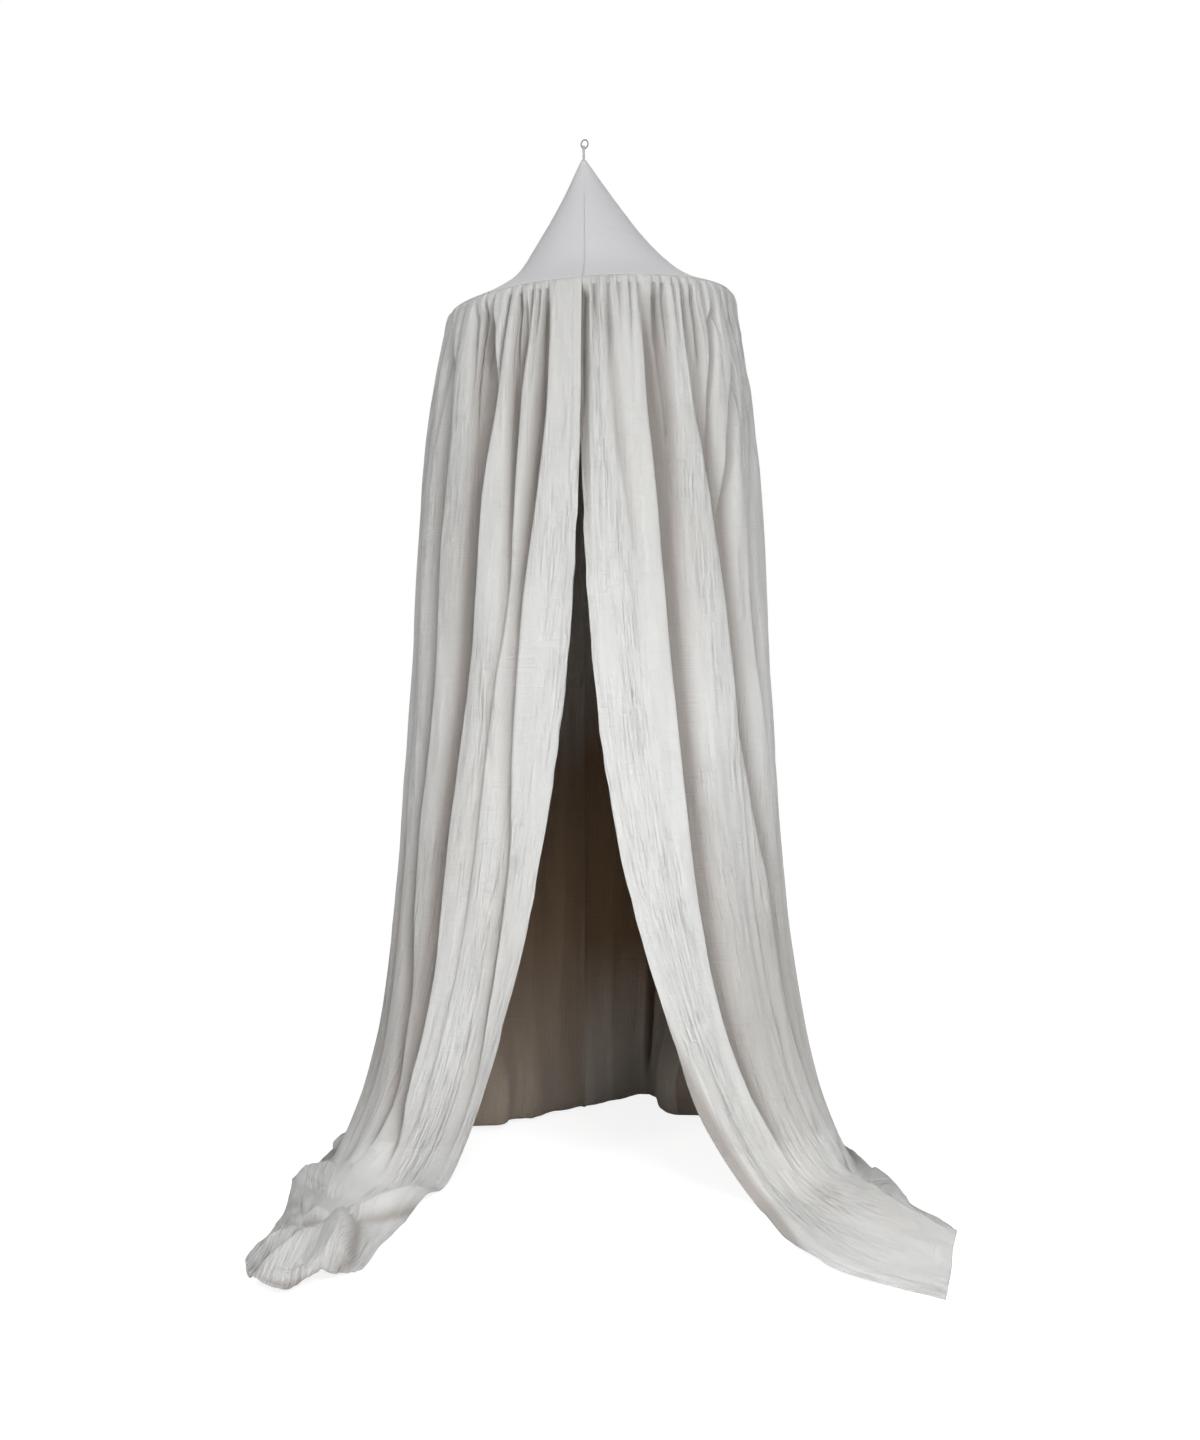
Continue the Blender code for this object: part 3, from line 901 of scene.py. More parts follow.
@dataclass(frozen=True)
class SkirtTables:
    """The measured lines of the skirt."""

    # Direction, how late it turns, and the floor points where it lands, bends and ends.
    guides: tuple = (
        (3.2, 2.7, (-0.235, -0.240), (-0.285, -0.490), (-0.318, -0.735)),
        (20.0, 2.6, (-0.300, -0.300), (-0.350, -0.520), (-0.366, -0.800)),
        (36.0, 2.5, (-0.365, -0.300), (-0.396, -0.520), (-0.412, -0.852)),
        (52.0, 2.5, (-0.415, -0.240), (-0.430, -0.470), (-0.466, -0.810)),
        (68.0, 2.5, (-0.445, -0.150), (-0.459, -0.330), (-0.480, -0.670)),
        (80.0, 2.5, (-0.452, -0.090), (-0.470, -0.200), (-0.474, -0.360)),
        (93.0, 2.5, (-0.446, -0.030), (-0.455, -0.040), (-0.462, -0.055)),
        (112.0, 2.5, (-0.400, 0.090), (-0.435, 0.115), (-0.466, 0.110)),
        (135.0, 2.5, (-0.285, 0.195), (-0.335, 0.270), (-0.385, 0.340)),
        (158.0, 2.5, (-0.130, 0.265), (-0.160, 0.360), (-0.190, 0.460)),
        (176.8, 2.5, (-0.016, 0.355), (-0.017, 0.450), (-0.018, 0.560)),
        (205.0, 2.5, (0.110, 0.480), (0.125, 0.550), (0.140, 0.620)),
        (228.0, 2.5, (0.200, 0.340), (0.245, 0.430), (0.300, 0.520)),
        (250.0, 2.5, (0.340, 0.170), (0.383, 0.225), (0.425, 0.260)),
        (273.0, 2.5, (0.446, -0.030), (0.455, -0.040), (0.464, -0.055)),
        (288.0, 2.5, (0.452, -0.120), (0.469, -0.160), (0.484, -0.230)),
        (303.0, 2.6, (0.440, -0.200), (0.480, -0.290), (0.500, -0.380)),
        (318.0, 2.7, (0.400, -0.240), (0.475, -0.390), (0.550, -0.520)),
        (333.0, 2.7, (0.350, -0.290), (0.430, -0.520), (0.522, -0.670)),
        (348.0, 2.7, (0.312, -0.325), (0.378, -0.610), (0.497, -0.785)),
        (363.2, 2.8, (0.277, -0.350), (0.326, -0.700), (0.475, -0.875)),
    )
    # Direction and how high the cloth heaps on the floor, as a share of the ripple height.
    heaps: tuple = (
        (3.2, 0.1), (20.0, 0.2), (36.0, 0.3), (68.0, 0.4), (93.0, 0.8), (158.0, 1.0), (205.0, 1.2),
        (250.0, 1.0), (288.0, 0.8), (318.0, 0.3), (363.2, 0.1),
    )
    folds: tuple[FoldLine, ...] = (
        # Left leaf, from the slit outwards
        FoldLine(((0.02, 16.0, 5), (0.07, 15.6, 13), (0.14, 15.9, 17), (0.24, 17.9, 16), (0.38, 21.0, 9),
                  (0.53, 20.3, 7), (0.63, 16.7, 7), (0.79, 13.8, 8), (0.91, 10.2, 4)), left=17, right=4.5),
        FoldLine(((0.02, 24.6, 7), (0.07, 23.9, 12), (0.15, 25.1, 15), (0.24, 25.7, 12), (0.36, 25.7, 6),
                  (0.46, 28.0, 5), (0.63, 29.2, 4), (0.8, 29.9, 2)), left=14, right=4.5),
        FoldLine(((0.02, 41.0, 8), (0.05, 37.7, 14), (0.13, 35.2, 20), (0.24, 37.4, 25), (0.45, 38.4, 29),
                  (0.63, 41.3, 30), (0.79, 39.5, 28), (0.91, 37.7, 20), (0.96, 32.9, 10)), left=34, right=5),
        FoldLine(((0.0, 50.5, 5), (0.05, 47.2, 8), (0.10, 45.3, 5), (0.16, 44.8, 0)), left=6, right=5),
        FoldLine(((0.03, 63.5, 6), (0.12, 55.8, 13), (0.27, 56.8, 16), (0.45, 55.1, 16), (0.63, 57.6, 19),
                  (0.80, 51.5, 22), (0.92, 46.0, 18)), left=24, right=6),
        FoldLine(((0.05, 74.0, 8), (0.3, 72.0, 14), (0.6, 71.0, 18), (0.9, 66.0, 22)), left=20, right=10),
        FoldLine(((0.05, 86.0, 8), (0.3, 85.0, 14), (0.6, 84.0, 18), (0.95, 82.0, 22)), left=18, right=12),
        # Right leaf, from the slit outwards
        FoldLine(((0.0, 363.2, 2), (0.02, 363.2, 12), (0.14, 363.2, 15), (0.22, 363.2, 9), (0.32, 363.2, 1),
                  (0.4, 363.2, 0)), left=12, right=13, power=3.0),
        FoldLine(((0.02, 354.0, 2), (0.05, 353.6, 4), (0.10, 352.4, 5), (0.19, 350.7, 6), (0.27, 347.9, 3),
                  (0.36, 346.0, 0)), left=8, right=9),
        FoldLine(((0.02, 340.3, 5), (0.07, 340.2, 12), (0.14, 339.7, 17), (0.27, 337.7, 19),
                  (0.41, 336.7, 20), (0.60, 336.4, 21), (0.80, 337.4, 20), (0.89, 335.6, 18),
                  (0.93, 333.0, 10)), left=5.0, right=31),
        FoldLine(((0.02, 334.6, 6), (0.07, 335.0, 7), (0.15, 332.8, 8), (0.23, 332.5, 4),
                  (0.32, 331.0, 0)), left=7, right=9),
        FoldLine(((0.02, 323.5, 5), (0.07, 324.1, 8), (0.15, 322.2, 10), (0.24, 317.4, 14),
                  (0.33, 314.6, 18), (0.43, 312.9, 20), (0.58, 308.9, 21), (0.69, 304.0, 20),
                  (0.86, 303.0, 16), (0.94, 300.0, 8)), left=5.0, right=27),
        FoldLine(((0.02, 306.7, 7), (0.05, 311.1, 10), (0.12, 315.1, 9), (0.17, 315.8, 8), (0.24, 316.8, 3),
                  (0.3, 317.0, 0)), left=5, right=7),
        FoldLine(((0.03, 296.0, 6), (0.05, 297.6, 9), (0.14, 305.5, 11), (0.21, 309.2, 12),
                  (0.27, 312.0, 8), (0.34, 313.1, 2)), left=4.5, right=14),
        FoldLine(((0.05, 281.0, 8), (0.16, 288.0, 12), (0.27, 298.0, 12), (0.38, 300.0, 12),
                  (0.53, 296.0, 12), (0.8, 290.0, 12), (0.94, 288.0, 8)), left=6, right=18),
        FoldLine(((0.05, 275.0, 6), (0.3, 280.0, 12), (0.6, 282.0, 12), (0.9, 280.0, 8)), left=8, right=14),
    )
    # Deep pleats under the seam: direction, depth in steps of fold_scale, half width in millimetres, and the
    # drop where they end.
    pleats: tuple = (
        (64.0, 6, 3.5, 0.10), (57.5, 6, 3.5, 0.08), (44.2, 9, 3.0, 0.12), (39.5, 5, 3.0, 0.06),
        (31.7, 10, 3.0, 0.10), (27.6, 9, 3.0, 0.12), (22.4, 6, 3.0, 0.05), (19.4, 5, 2.5, 0.05),
        (16.6, 5, 2.5, 0.05), (359.0, 6, 3.0, 0.05), (353.4, 4, 3.0, 0.08), (349.5, 4, 2.5, 0.04),
        (345.2, 5, 2.8, 0.05), (341.8, 4, 2.5, 0.04), (335.5, 5, 2.8, 0.05), (331.9, 8, 3.0, 0.07),
        (327.3, 6, 2.8, 0.05), (323.2, 5, 2.8, 0.05), (319.0, 8, 3.2, 0.08), (312.5, 5, 3.0, 0.05),
        (307.6, 6, 3.0, 0.06), (300.4, 10, 3.4, 0.09), (292.0, 6, 3.4, 0.07), (284.0, 6, 3.4, 0.07),
    )
    # Broad valleys of the back: direction, half width in degrees, depth in millimetres.
    back_valleys: tuple = (
        (104.0, 5.0, 20), (122.0, 5.5, 24), (141.0, 5.5, 18), (156.0, 5.5, 20), (168.0, 4.5, 12),
        (190.0, 5.0, 14), (216.0, 6.0, 26), (236.0, 5.5, 19), (254.0, 5.0, 21), (266.0, 4.5, 14),
    )
    # Rolls of the back cloth just over the floor: direction, half width in degrees, how far in they come.
    back_rolls: tuple = ((143.0, 9.5, 0.075), (160.0, 4.5, 0.022), (193.0, 6.0, 0.018), (222.0, 10.5, 0.090))
    floor_folds: tuple[FloorFold, ...] = (
        # Left tail: the rolled edge, the flap behind it, the shelf, the rim, the pillow, the band and the end
        FloorFold(((-0.262, -0.322), (-0.286, -0.400), (-0.312, -0.452), (-0.340, -0.486),
                   (-0.382, -0.512)), height=0.036, left=0.018, right=0.034),
        FloorFold(((-0.400, -0.241), (-0.423, -0.313), (-0.450, -0.353), (-0.466, -0.372),
                   (-0.458, -0.401)), height=0.056, left=0.060, right=0.022),
        FloorFold(((-0.445, -0.511), (-0.429, -0.507), (-0.390, -0.548),
                   (-0.365, -0.565)), height=0.026, left=0.020, right=0.012),
        FloorFold(((-0.431, -0.574), (-0.437, -0.640), (-0.462, -0.717), (-0.470, -0.789),
                   (-0.467, -0.826)), height=0.034, left=0.012, right=0.020),
        FloorFold(((-0.366, -0.618), (-0.405, -0.647), (-0.422, -0.732), (-0.447, -0.804),
                   (-0.455, -0.826)), height=0.036, left=0.040, right=0.012),
        FloorFold(((-0.372, -0.518), (-0.362, -0.640), (-0.358, -0.720),
                   (-0.374, -0.790)), height=0.050, left=0.015, right=0.030),
        FloorFold(((-0.445, -0.815), (-0.410, -0.830),
                   (-0.370, -0.800)), height=0.022, left=0.030, right=0.012),
        # Right tail: the fold that lies over the side of the skirt, and a crease
        FloorFold(((0.400, 0.051), (0.414, -0.169), (0.444, -0.303), (0.477, -0.445), (0.521, -0.563),
                   (0.545, -0.572)), height=0.022, left=0.008, right=0.090),
        FloorFold(((0.466, -0.220), (0.485, -0.310),
                   (0.499, -0.380)), height=0.022, left=0.010, right=0.010),
    )


# ---- the skirt's surface


@dataclass
class PlainSkirt:
    """The skirt with no folds: where the cloth is, for a direction and a place from the hoop to the hem."""

    hoop: HoopFrame
    tables: SkirtTables = field(default_factory=SkirtTables)
    puff: float = 0.036
    puff_reach: float = 0.08
    even_spread: float = 0.488
    late_spread_power: int = 9
    floor_share: float = 0.27
    bend_share: float = 0.45
    floor_z: float = -1.8076
    lift: float = 0.0030
    ripple: float = 0.0154
    seam_gap: float = 0.0010
    cloth_length: float = 2.05
    cloth_radius: float = 0.33
    slit_direction: float = 3.2
    seam_directions: tuple[float, ...] = (93.0, 176.8, 273.0)

    def __post_init__(self) -> None:
        """Sort the guides into columns."""
        guides = self.tables.guides
        self.angles, self.delays, self.feet, self.bends, self.hems = (np.array(part) for part in zip(*guides))
        self.heap_angles, self.heap_shares = np.array(self.tables.heaps).T
        self.hanging_share = 1 - self.floor_share
        self.middle = np.array([self.hoop.centre[0], 0.0])

    def hanging(self, direction: np.ndarray, drop: np.ndarray) -> np.ndarray:
        """Places of the hanging cloth.

        Args:
            direction: direction at the hoop in degrees.
            drop: 0 at the hoop to 1 at the floor.

        Returns:
            Places with X Y Z as last axis.
        """
        top_angle = np.radians(direction)
        top = self.hoop.place(top_angle, self.hoop.radius, self.hoop.seam_rise - self.seam_gap)
        foot = curve_value(self.angles, self.feet, direction)
        delay = curve_value(self.angles, self.delays, direction)
        foot_angle = np.arctan2(-foot[..., 0], -foot[..., 1])
        turn = (foot_angle - top_angle + math.pi) % math.tau - math.pi
        angle = top_angle + turn * drop**delay
        swell = self.puff * (1 - np.exp(-drop / self.puff_reach))
        spread = np.linalg.norm(foot, axis=-1) - self.hoop.radius - self.puff
        spread = spread * (self.even_spread * drop + (1 - self.even_spread) * drop**self.late_spread_power)
        radius = self.hoop.radius + swell + spread
        height = top[..., 2] * (1 - drop) + (self.floor_z + self.lift) * drop
        sideways = top[..., 0] - self.middle[0] + np.sin(top_angle) * self.hoop.radius
        middle = self.middle[0] + sideways * (1 - drop)
        return np.stack([middle - np.sin(angle) * radius, -np.cos(angle) * radius, height], axis=-1)

    def lying(self, direction: np.ndarray, share: np.ndarray) -> np.ndarray:
        """Places of the cloth on the floor, in two spans that meet at the guides' bends.

        Args:
            direction: direction at the hoop in degrees.
            share: 0 where it lands to 1 at its hem.

        Returns:
            Places with X Y Z as last axis.
        """
        landing = self.hanging(direction, np.ones_like(direction))
        start = landing[..., :2] - self.middle
        bend = curve_value(self.angles, self.bends, direction)
        hem = curve_value(self.angles, self.hems, direction)
        split = self.bend_share
        first = np.clip(share / split, 0, 1)[..., None]
        second = np.clip((share - split) / (1 - split), 0, 1)[..., None]
        near = hermite(first, start, bend - start, bend, (hem - start) * split)
        far = hermite(second, bend, (hem - start) * (1 - split), hem, hem - bend)
        flat = np.where((share < split)[..., None], near, far) + self.middle
        heap = self.ripple * curve_value(self.heap_angles, self.heap_shares, direction)
        height = landing[..., 2] + heap * np.sin(math.pi * share)
        return np.concatenate([flat, height[..., None]], axis=-1)

    def plain(self, direction: np.ndarray, along: np.ndarray) -> np.ndarray:
        """Places of the whole cloth.

        Args:
            direction: direction at the hoop in degrees.
            along: 0 at the hoop to 1 at the hem.

        Returns:
            Places with X Y Z as last axis.
        """
        direction, along = np.broadcast_arrays(np.asarray(direction, float), np.asarray(along, float))
        hanging = self.hanging(direction, np.clip(along / self.hanging_share, 0.0, 1.0))
        lying = self.lying(direction, np.clip((along - self.hanging_share) / self.floor_share, 0.0, 1.0))
        return np.where((along <= self.hanging_share)[..., None], hanging, lying)

    def on_cloth(self, direction: np.ndarray, along: np.ndarray) -> tuple[np.ndarray, np.ndarray]:
        """Places across and along the flat cloth, in metres."""
        return direction * math.pi / 180 * self.cloth_radius, along * self.cloth_length


class ClothPoints:
    """A grid of points of the plain cloth, and what its folds need to know at each.

    Folds push the hanging cloth out level and, between the two drops of upward, ever more straight up.
    """

    half_step: float = 0.15
    upward: tuple[float, float] = (0.93, 1.0)

    def __init__(
        self, skirt: PlainSkirt, direction: np.ndarray, along: np.ndarray, edge: np.ndarray | None
    ) -> None:
        """Work the values out.

        Args:
            skirt: the plain skirt.
            direction: direction at the hoop in degrees, one for each grid point.
            along: 0 at the hoop to 1 at the hem, one for each grid point.
            edge: distance in metres from a free front edge, or None where there is none.
        """
        self.direction = direction
        self.along = along
        self.edge = edge
        self.drop = np.clip(along / skirt.hanging_share, 0.0, 1.0)
        self.plain = skirt.plain(direction, along)
        self.u, self.v = skirt.on_cloth(direction, along)
        level = self.plain[..., :2] - skirt.middle
        self.radius = np.linalg.norm(level, axis=-1)
        self.outward = unit(np.concatenate([level, np.zeros_like(level[..., :1])], axis=-1))
        beside = skirt.plain(direction + self.half_step, along)
        self.across = unit(beside - skirt.plain(direction - self.half_step, along))
        low = ease(*self.upward, self.drop)[..., None]
        self.push = self.outward * (1 - low) + np.array([0.0, 0.0, 1.0]) * low

    def past(self, middle: np.ndarray) -> np.ndarray:
        """How far each point lies past a direction, in metres."""
        return (self.direction - middle) * self.radius * math.pi / 180

    def noise(self, cell_u: float, cell_v: float, seed: int) -> np.ndarray:
        """Smooth noise at each point, from -1 to 1."""
        return soft_noise(self.u, self.v, cell_u, cell_v, seed)

    def beyond_floor(self, skirt: PlainSkirt, start: float, end: float) -> np.ndarray:
        """A share that falls from 1 to 0 between two places behind where the cloth lands."""
        return 1 - ease(skirt.hanging_share + start, skirt.hanging_share + end, self.along)


@dataclass
class SkirtShape(PlainSkirt):
    """The skirt's finished surface, with its folds, gathers and crinkles."""

    fold_scale: float = 0.0018
    seam_hold: float = 0.0016
    seam_groove: float = 0.0022
    seam_width: float = 0.0035
    slot_direction: float = 205.0
    slot_width: float = 0.010
    slot_depth: float = 0.034
    slump_height: float = 0.006
    hem_width: float = 0.016
    hem_rise: float = 0.0010
    hem_groove: float = 0.0017
    edge_wave: float = 0.0013
    lip_width: float = 0.011
    lip_shift: tuple[float, float] = (0.016, -0.008)
    bend_reach: float = 0.035
    bend_rounds: int = 26
    # Gathers with places drawn by chance: first and last direction, pitch in degrees, and the limits of their
    # depth in steps of fold_scale, half width in millimetres and the drop where they end.
    gather_span: tuple[float, float] = (72.0, 278.0)
    gather_pitch: tuple[float, float] = (2.9, 5.4)
    gather_limits: tuple = ((5, 10), (3.0, 4.6), (0.05, 0.14))
    # Painted shade: the depth of a fold that is wholly dark, and the shares on the sides that turn from the
    # lamps, inside at half height, inside low down, over a span of the back inside low down and higher up,
    # and in the slot.
    full_shade_depth: float = 0.020
    turned_shade: float = 0.45
    middle_shade: float = 0.96
    low_shade: float = 0.62
    shaded_back_span: tuple[float, float] = (176.8, 228.0)
    shaded_back_low_shade: float = 0.24
    shaded_back_high_shade: float = 0.2
    slot_shade: float = 0.8
    # Height in metres, size across and along, and choice of pattern of the small lumps.
    lumps: tuple = ((0.0042, 0.055, 0.34, 3), (0.0022, 0.024, 0.12, 5), (0.0009, 0.009, 0.06, 7))

    def fold_depth(self, at: ClothPoints) -> np.ndarray:
        """How far the long folds take the hanging cloth in.

        Args:
            at: the points of the cloth.

        Returns:
            The depth in metres.
        """
        depth = np.zeros_like(at.direction)
        for fold in self.tables.folds:
            keys, directions, depths = np.array(fold.path).T
            offset = at.past(curve_value(keys, directions, at.drop)) * 1000
            deep = np.interp(at.drop, keys, depths) * self.fold_scale
            deep = deep * ease(0.0, 0.03, at.drop) * ease(keys[0] - 0.04, keys[0] + 0.02, at.drop)
            depth += deep * bell(offset, np.where(offset > 0, fold.left, fold.right), fold.power)
        opening = ease(0.0, 0.16, at.drop) * (1 - 0.5 * ease(0.7, 1.0, at.drop))
        for index, (middle, half_width, deep) in enumerate(self.tables.back_valleys):
            sway = 1.6 * np.sin(at.drop * 3.0 + index * 1.7)
            share = (at.direction - middle - sway) / half_width
            depth += deep * 0.001 * opening * bell(share, np.where(share > 0, 1.35, 0.6), 1.6)
        return depth

    def pleat_depth(self, at: ClothPoints) -> np.ndarray:
        """How far the gathers under the seam take the cloth in.

        Args:
            at: the points of the cloth.

        Returns:
            The depth in metres.
        """
        chance = np.random.default_rng(11)
        pleats = list(self.tables.pleats)
        place, end = self.gather_span
        while place < end:
            pleats.append((place, *(chance.uniform(*limits) for limits in self.gather_limits)))
            place += chance.uniform(*self.gather_pitch)
        depth = np.zeros_like(at.direction)
        valleys = np.zeros_like(at.direction)
        for middle, deep, half_width, end in pleats:
            offset = at.past(middle + chance.uniform(-14, 14) * at.drop) * 1000
            side = np.where(offset > 0, chance.uniform(0.8, 1.5), chance.uniform(0.8, 1.5))
            valley = bell(offset, half_width * side * (1 + 5 * at.drop), 1.7)
            depth += deep * self.fold_scale * window(at.drop, (0.0, 0.012), (0.5 * end, 2.0 * end)) * valley
            valleys = np.maximum(valleys, valley)
        depth = np.minimum(depth, self.seam_hold + 0.05 * ease(0.008, 0.022, at.drop))
        bulge = 0.0026 * (1 - ease(0.05, 0.2, at.drop)) + 0.002 * (1 - ease(0.01, 0.03, at.drop))
        return depth - bulge * ease(0.0, 0.004, at.drop) * (1 - valleys)

    def depth(self, at: ClothPoints) -> np.ndarray:
        """How far folds, gathers and seams take the cloth in.

        Args:
            at: the points of the cloth.

        Returns:
            The depth in metres.
        """
        depth = self.fold_depth(at) * (1 - ease(0.95, 1.0, at.drop))
        depth = np.minimum(depth, self.seam_hold + 0.08 * ease(0.008, 0.03, at.drop))
        depth += self.pleat_depth(at)
        for seam in self.seam_directions:
            depth += self.seam_groove * bell(at.past(seam), self.seam_width) * ease(0.0, 0.02, at.drop)
        return depth

    def swell(self, at: ClothPoints) -> np.ndarray:
        """How far small lumps and crinkles take the cloth out.

        Args:
            at: the points of the cloth.

        Returns:
            The height in metres.
        """
        swell = sum(height * at.noise(*pattern) for height, *pattern in self.lumps) * ease(0.0, 0.10, at.drop)
        swell += 0.0011 * at.noise(0.006, 0.05, 9) * window(at.drop, (0.0, 0.012), (0.02, 0.25))
        if at.edge is not None:
            creased = bell(at.edge, 0.11) * window(at.drop, (0.10, 0.24), (0.7, 0.95))
            swell += 0.0015 * creased * at.noise(0.0075, 0.16, 25) * (at.direction > 180)
        return swell

    def slump(self, at: ClothPoints) -> np.ndarray:
        """How far the level creases just over the floor bring the cloth out, in metres."""
        waves = np.sin(at.drop * 190 + 5 * at.noise(0.16, 2.0, 17)) * (0.6 + 0.4 * at.noise(0.07, 1.0, 19))
        return self.slump_height * waves * window(at.drop, (0.90, 0.955), (0.985, 1.0))

    def slot(self, at: ClothPoints) -> np.ndarray:
        """The narrow valley that shows inside, right of the centre back seam, from 0 to 1: shaded by its
        depth and by painted shade.
        """
        across = bell(at.past(self.slot_direction), self.slot_width)
        return across * window(at.drop, (0.40, 0.65), (0.93, 0.99))

    def painted_outer_shade(self, at: ClothPoints, depth: np.ndarray) -> np.ndarray:
        """Painted shade of the outside: how much of the light the folds and the sides turned from the lamps
        keep off.

        Args:
            at: the points.
            depth: how far the folds take the cloth in, in metres.

        Returns:
            The share, from 0 to 1.
        """
        # Painted shade on the sides that turn from the lamps.
        turned = ease(47.0, 56.0, at.direction + 12.0 * at.drop) * (1 - ease(96.0, 110.0, at.direction))
        turned += window(at.direction, (258.0, 272.0), (329.0, 336.0))
        turned *= window(at.drop, (0.45, 0.80), (0.84, 1.0))
        return np.clip(depth / self.full_shade_depth + self.turned_shade * turned, 0.0, 1.0)

    def painted_inner_shade(self, at: ClothPoints) -> np.ndarray:
        """Painted shade of the inside: how much of the light the skirt keeps off its own inside.

        Args:
            at: the points of the cloth.

        Returns:
            The share, from 0 to 1.
        """
        # Painted shade: a span of the back inside right of the centre seam gets its own shares low down and
        # higher up.
        first, last = self.shaded_back_span
        in_shaded_back = (at.direction > first) & (at.direction < last)
        low = ease(0.7, 0.97, at.drop)
        share = self.middle_shade * window(at.drop, (0.34, 0.6), (0.7, 0.97))
        share += np.where(in_shaded_back, self.shaded_back_low_shade, self.low_shade) * low
        share += np.where(in_shaded_back, self.shaded_back_high_shade, 0.0) * (1 - low)
        return np.clip(share + self.slot_shade * self.slot(at), 0.0, 1.0)

    def floor_relief(self, points: np.ndarray) -> tuple[np.ndarray, np.ndarray]:
        """The ridges of the cloth on the floor.

        Args:
            points: places of the plain cloth.

        Returns:
            The height in metres, and the painted shade at the ridges' feet: how much of the light they keep
            off, from 0 to 1.
        """
        flat = points[..., :2] - self.middle
        height = np.zeros(flat.shape[:-1])
        feet = np.zeros(flat.shape[:-1])
        for fold in self.tables.floor_folds:
            path = np.array(fold.path)
            lengths = np.linalg.norm(np.diff(path, axis=0), axis=1)
            best = np.full(height.shape, 1e9)
            signed = np.zeros(height.shape)
            taper = np.zeros(height.shape)
            run = 0.0
            for start, end, length in zip(path[:-1], path[1:], lengths):
                way = (end - start) / length
                offset = flat - start
                reach = np.clip(offset @ way, 0, length)
                distance = np.linalg.norm(offset - reach[..., None] * way, axis=-1)
                side = way[0] * offset[..., 1] - way[1] * offset[..., 0]
                place = np.clip((run + reach) / lengths.sum(), 0.05, 0.95)
                closer = distance < best
                best = np.where(closer, distance, best)
                signed = np.where(closer, np.sign(side) * distance, signed)
                taper = np.where(closer, np.sin(math.pi * place) ** 0.4, taper)
                run += length
            width = np.where(signed > 0, fold.left, fold.right)
            ridge = fold.height * taper * bell(signed, width, 1.5)
            # Painted shade at the foot of each ridge's steeper side.
            foot = min(1.0, fold.height / 0.022) * taper * bell(np.abs(signed / width) - 1.4, 0.6)
            feet = np.maximum(feet, foot * (signed * (fold.left - fold.right) < 0))
            height = np.maximum(height, ridge) + 0.2 * np.minimum(height, ridge)
        return height, feet * bell(height, 0.035)

    def free_edge(self, at: ClothPoints) -> tuple[np.ndarray, np.ndarray]:
        """The hem along a front edge, its waves, and the lip of the right leaf where it lands.

        Args:
            at: the points.

        Returns:
            The shift of each point in metres, and the lip from 0 to 1.
        """
        lip = bell(at.edge, self.lip_width) * ease(0.80, 0.93, at.drop) * (at.direction > 180)
        lip *= at.beyond_floor(self, 0.05, 0.12)
        band = 1 - ease(self.hem_width - 0.0012, self.hem_width + 0.0006, at.edge)
        groove = bell(at.edge - self.hem_width, 0.0018)
        wave = soft_noise(np.zeros_like(at.v), at.v, 1.0, 0.03, 13) * np.exp(-at.edge / 0.03)
        sideways = self.lip_shift[0] * lip + self.edge_wave * wave * ease(0.03, 0.2, at.drop)
        outwards = self.lip_shift[1] * lip + self.hem_rise * band - self.hem_groove * groove
        return at.across * sideways[..., None] + at.push * outwards[..., None], lip

    def cloth(
        self, direction: np.ndarray, along: np.ndarray, edge: np.ndarray | None
    ) -> tuple[np.ndarray, tuple[np.ndarray, np.ndarray]]:
        """The finished cloth.

        Args:
            direction: direction at the hoop in degrees, one for each grid point.
            along: 0 at the hoop to 1 at the hem, one for each grid point.
            edge: distance in metres from a free front edge, or None where there is none.

        Returns:
            Grid of places with X Y Z as last axis, and the painted shades of the outer and the inner face.
        """
        at = ClothPoints(self, direction, along, edge)
        depth = self.depth(at) - self.slot_depth * self.slot(at)
        points = at.plain + at.push * (self.swell(at) - depth)[..., None]
        on_floor = 1 - ease(0.012, 0.09, at.plain[..., 2] - self.floor_z)
        relief, feet = self.floor_relief(at.plain)
        points[..., 2] += relief * on_floor
        # Painted shade: folds and turned sides on the hanging cloth, the ridges' feet on the floor.
        outer = np.clip(self.painted_outer_shade(at, depth) * (1 - on_floor) + feet * on_floor, 0.0, 1.0)
        points += at.outward * self.slump(at)[..., None]
        if edge is not None:
            shift, lip = self.free_edge(at)
            points += shift
            # Painted shade along the right leaf's lip where it lands.
            outer = np.maximum(outer, np.minimum(2.2 * lip, 1.0))
        points = self.smoothed_bend(points, along)
        for middle, width, deep in self.tables.back_rolls:
            roll = bell(direction - middle, width, 2.4) * ease(0.86, 0.965, at.drop)
            roll *= at.beyond_floor(self, 0.006, 0.04)
            points -= at.outward * (deep * roll)[..., None]
        points[..., 2] = np.maximum(points[..., 2], self.floor_z + self.lift * 0.7)
        return points, (outer, self.painted_inner_shade(at))

    def smoothed_bend(self, points: np.ndarray, along: np.ndarray) -> np.ndarray:
        """Round the bend where the cloth lands.

        Args:
            points: grid of places, from the hoop's row to the hem's.
            along: 0 at the hoop to 1 at the hem for each of them.

        Returns:
            The grid with the bend rounded.
        """
        near = bell(along - self.hanging_share, self.bend_reach)[..., None]
        for _ in range(self.bend_rounds):
            average = points.copy()
            average[1:-1] = (points[:-2] + points[2:]) / 2
            points = points + (average - points) * near
        return points


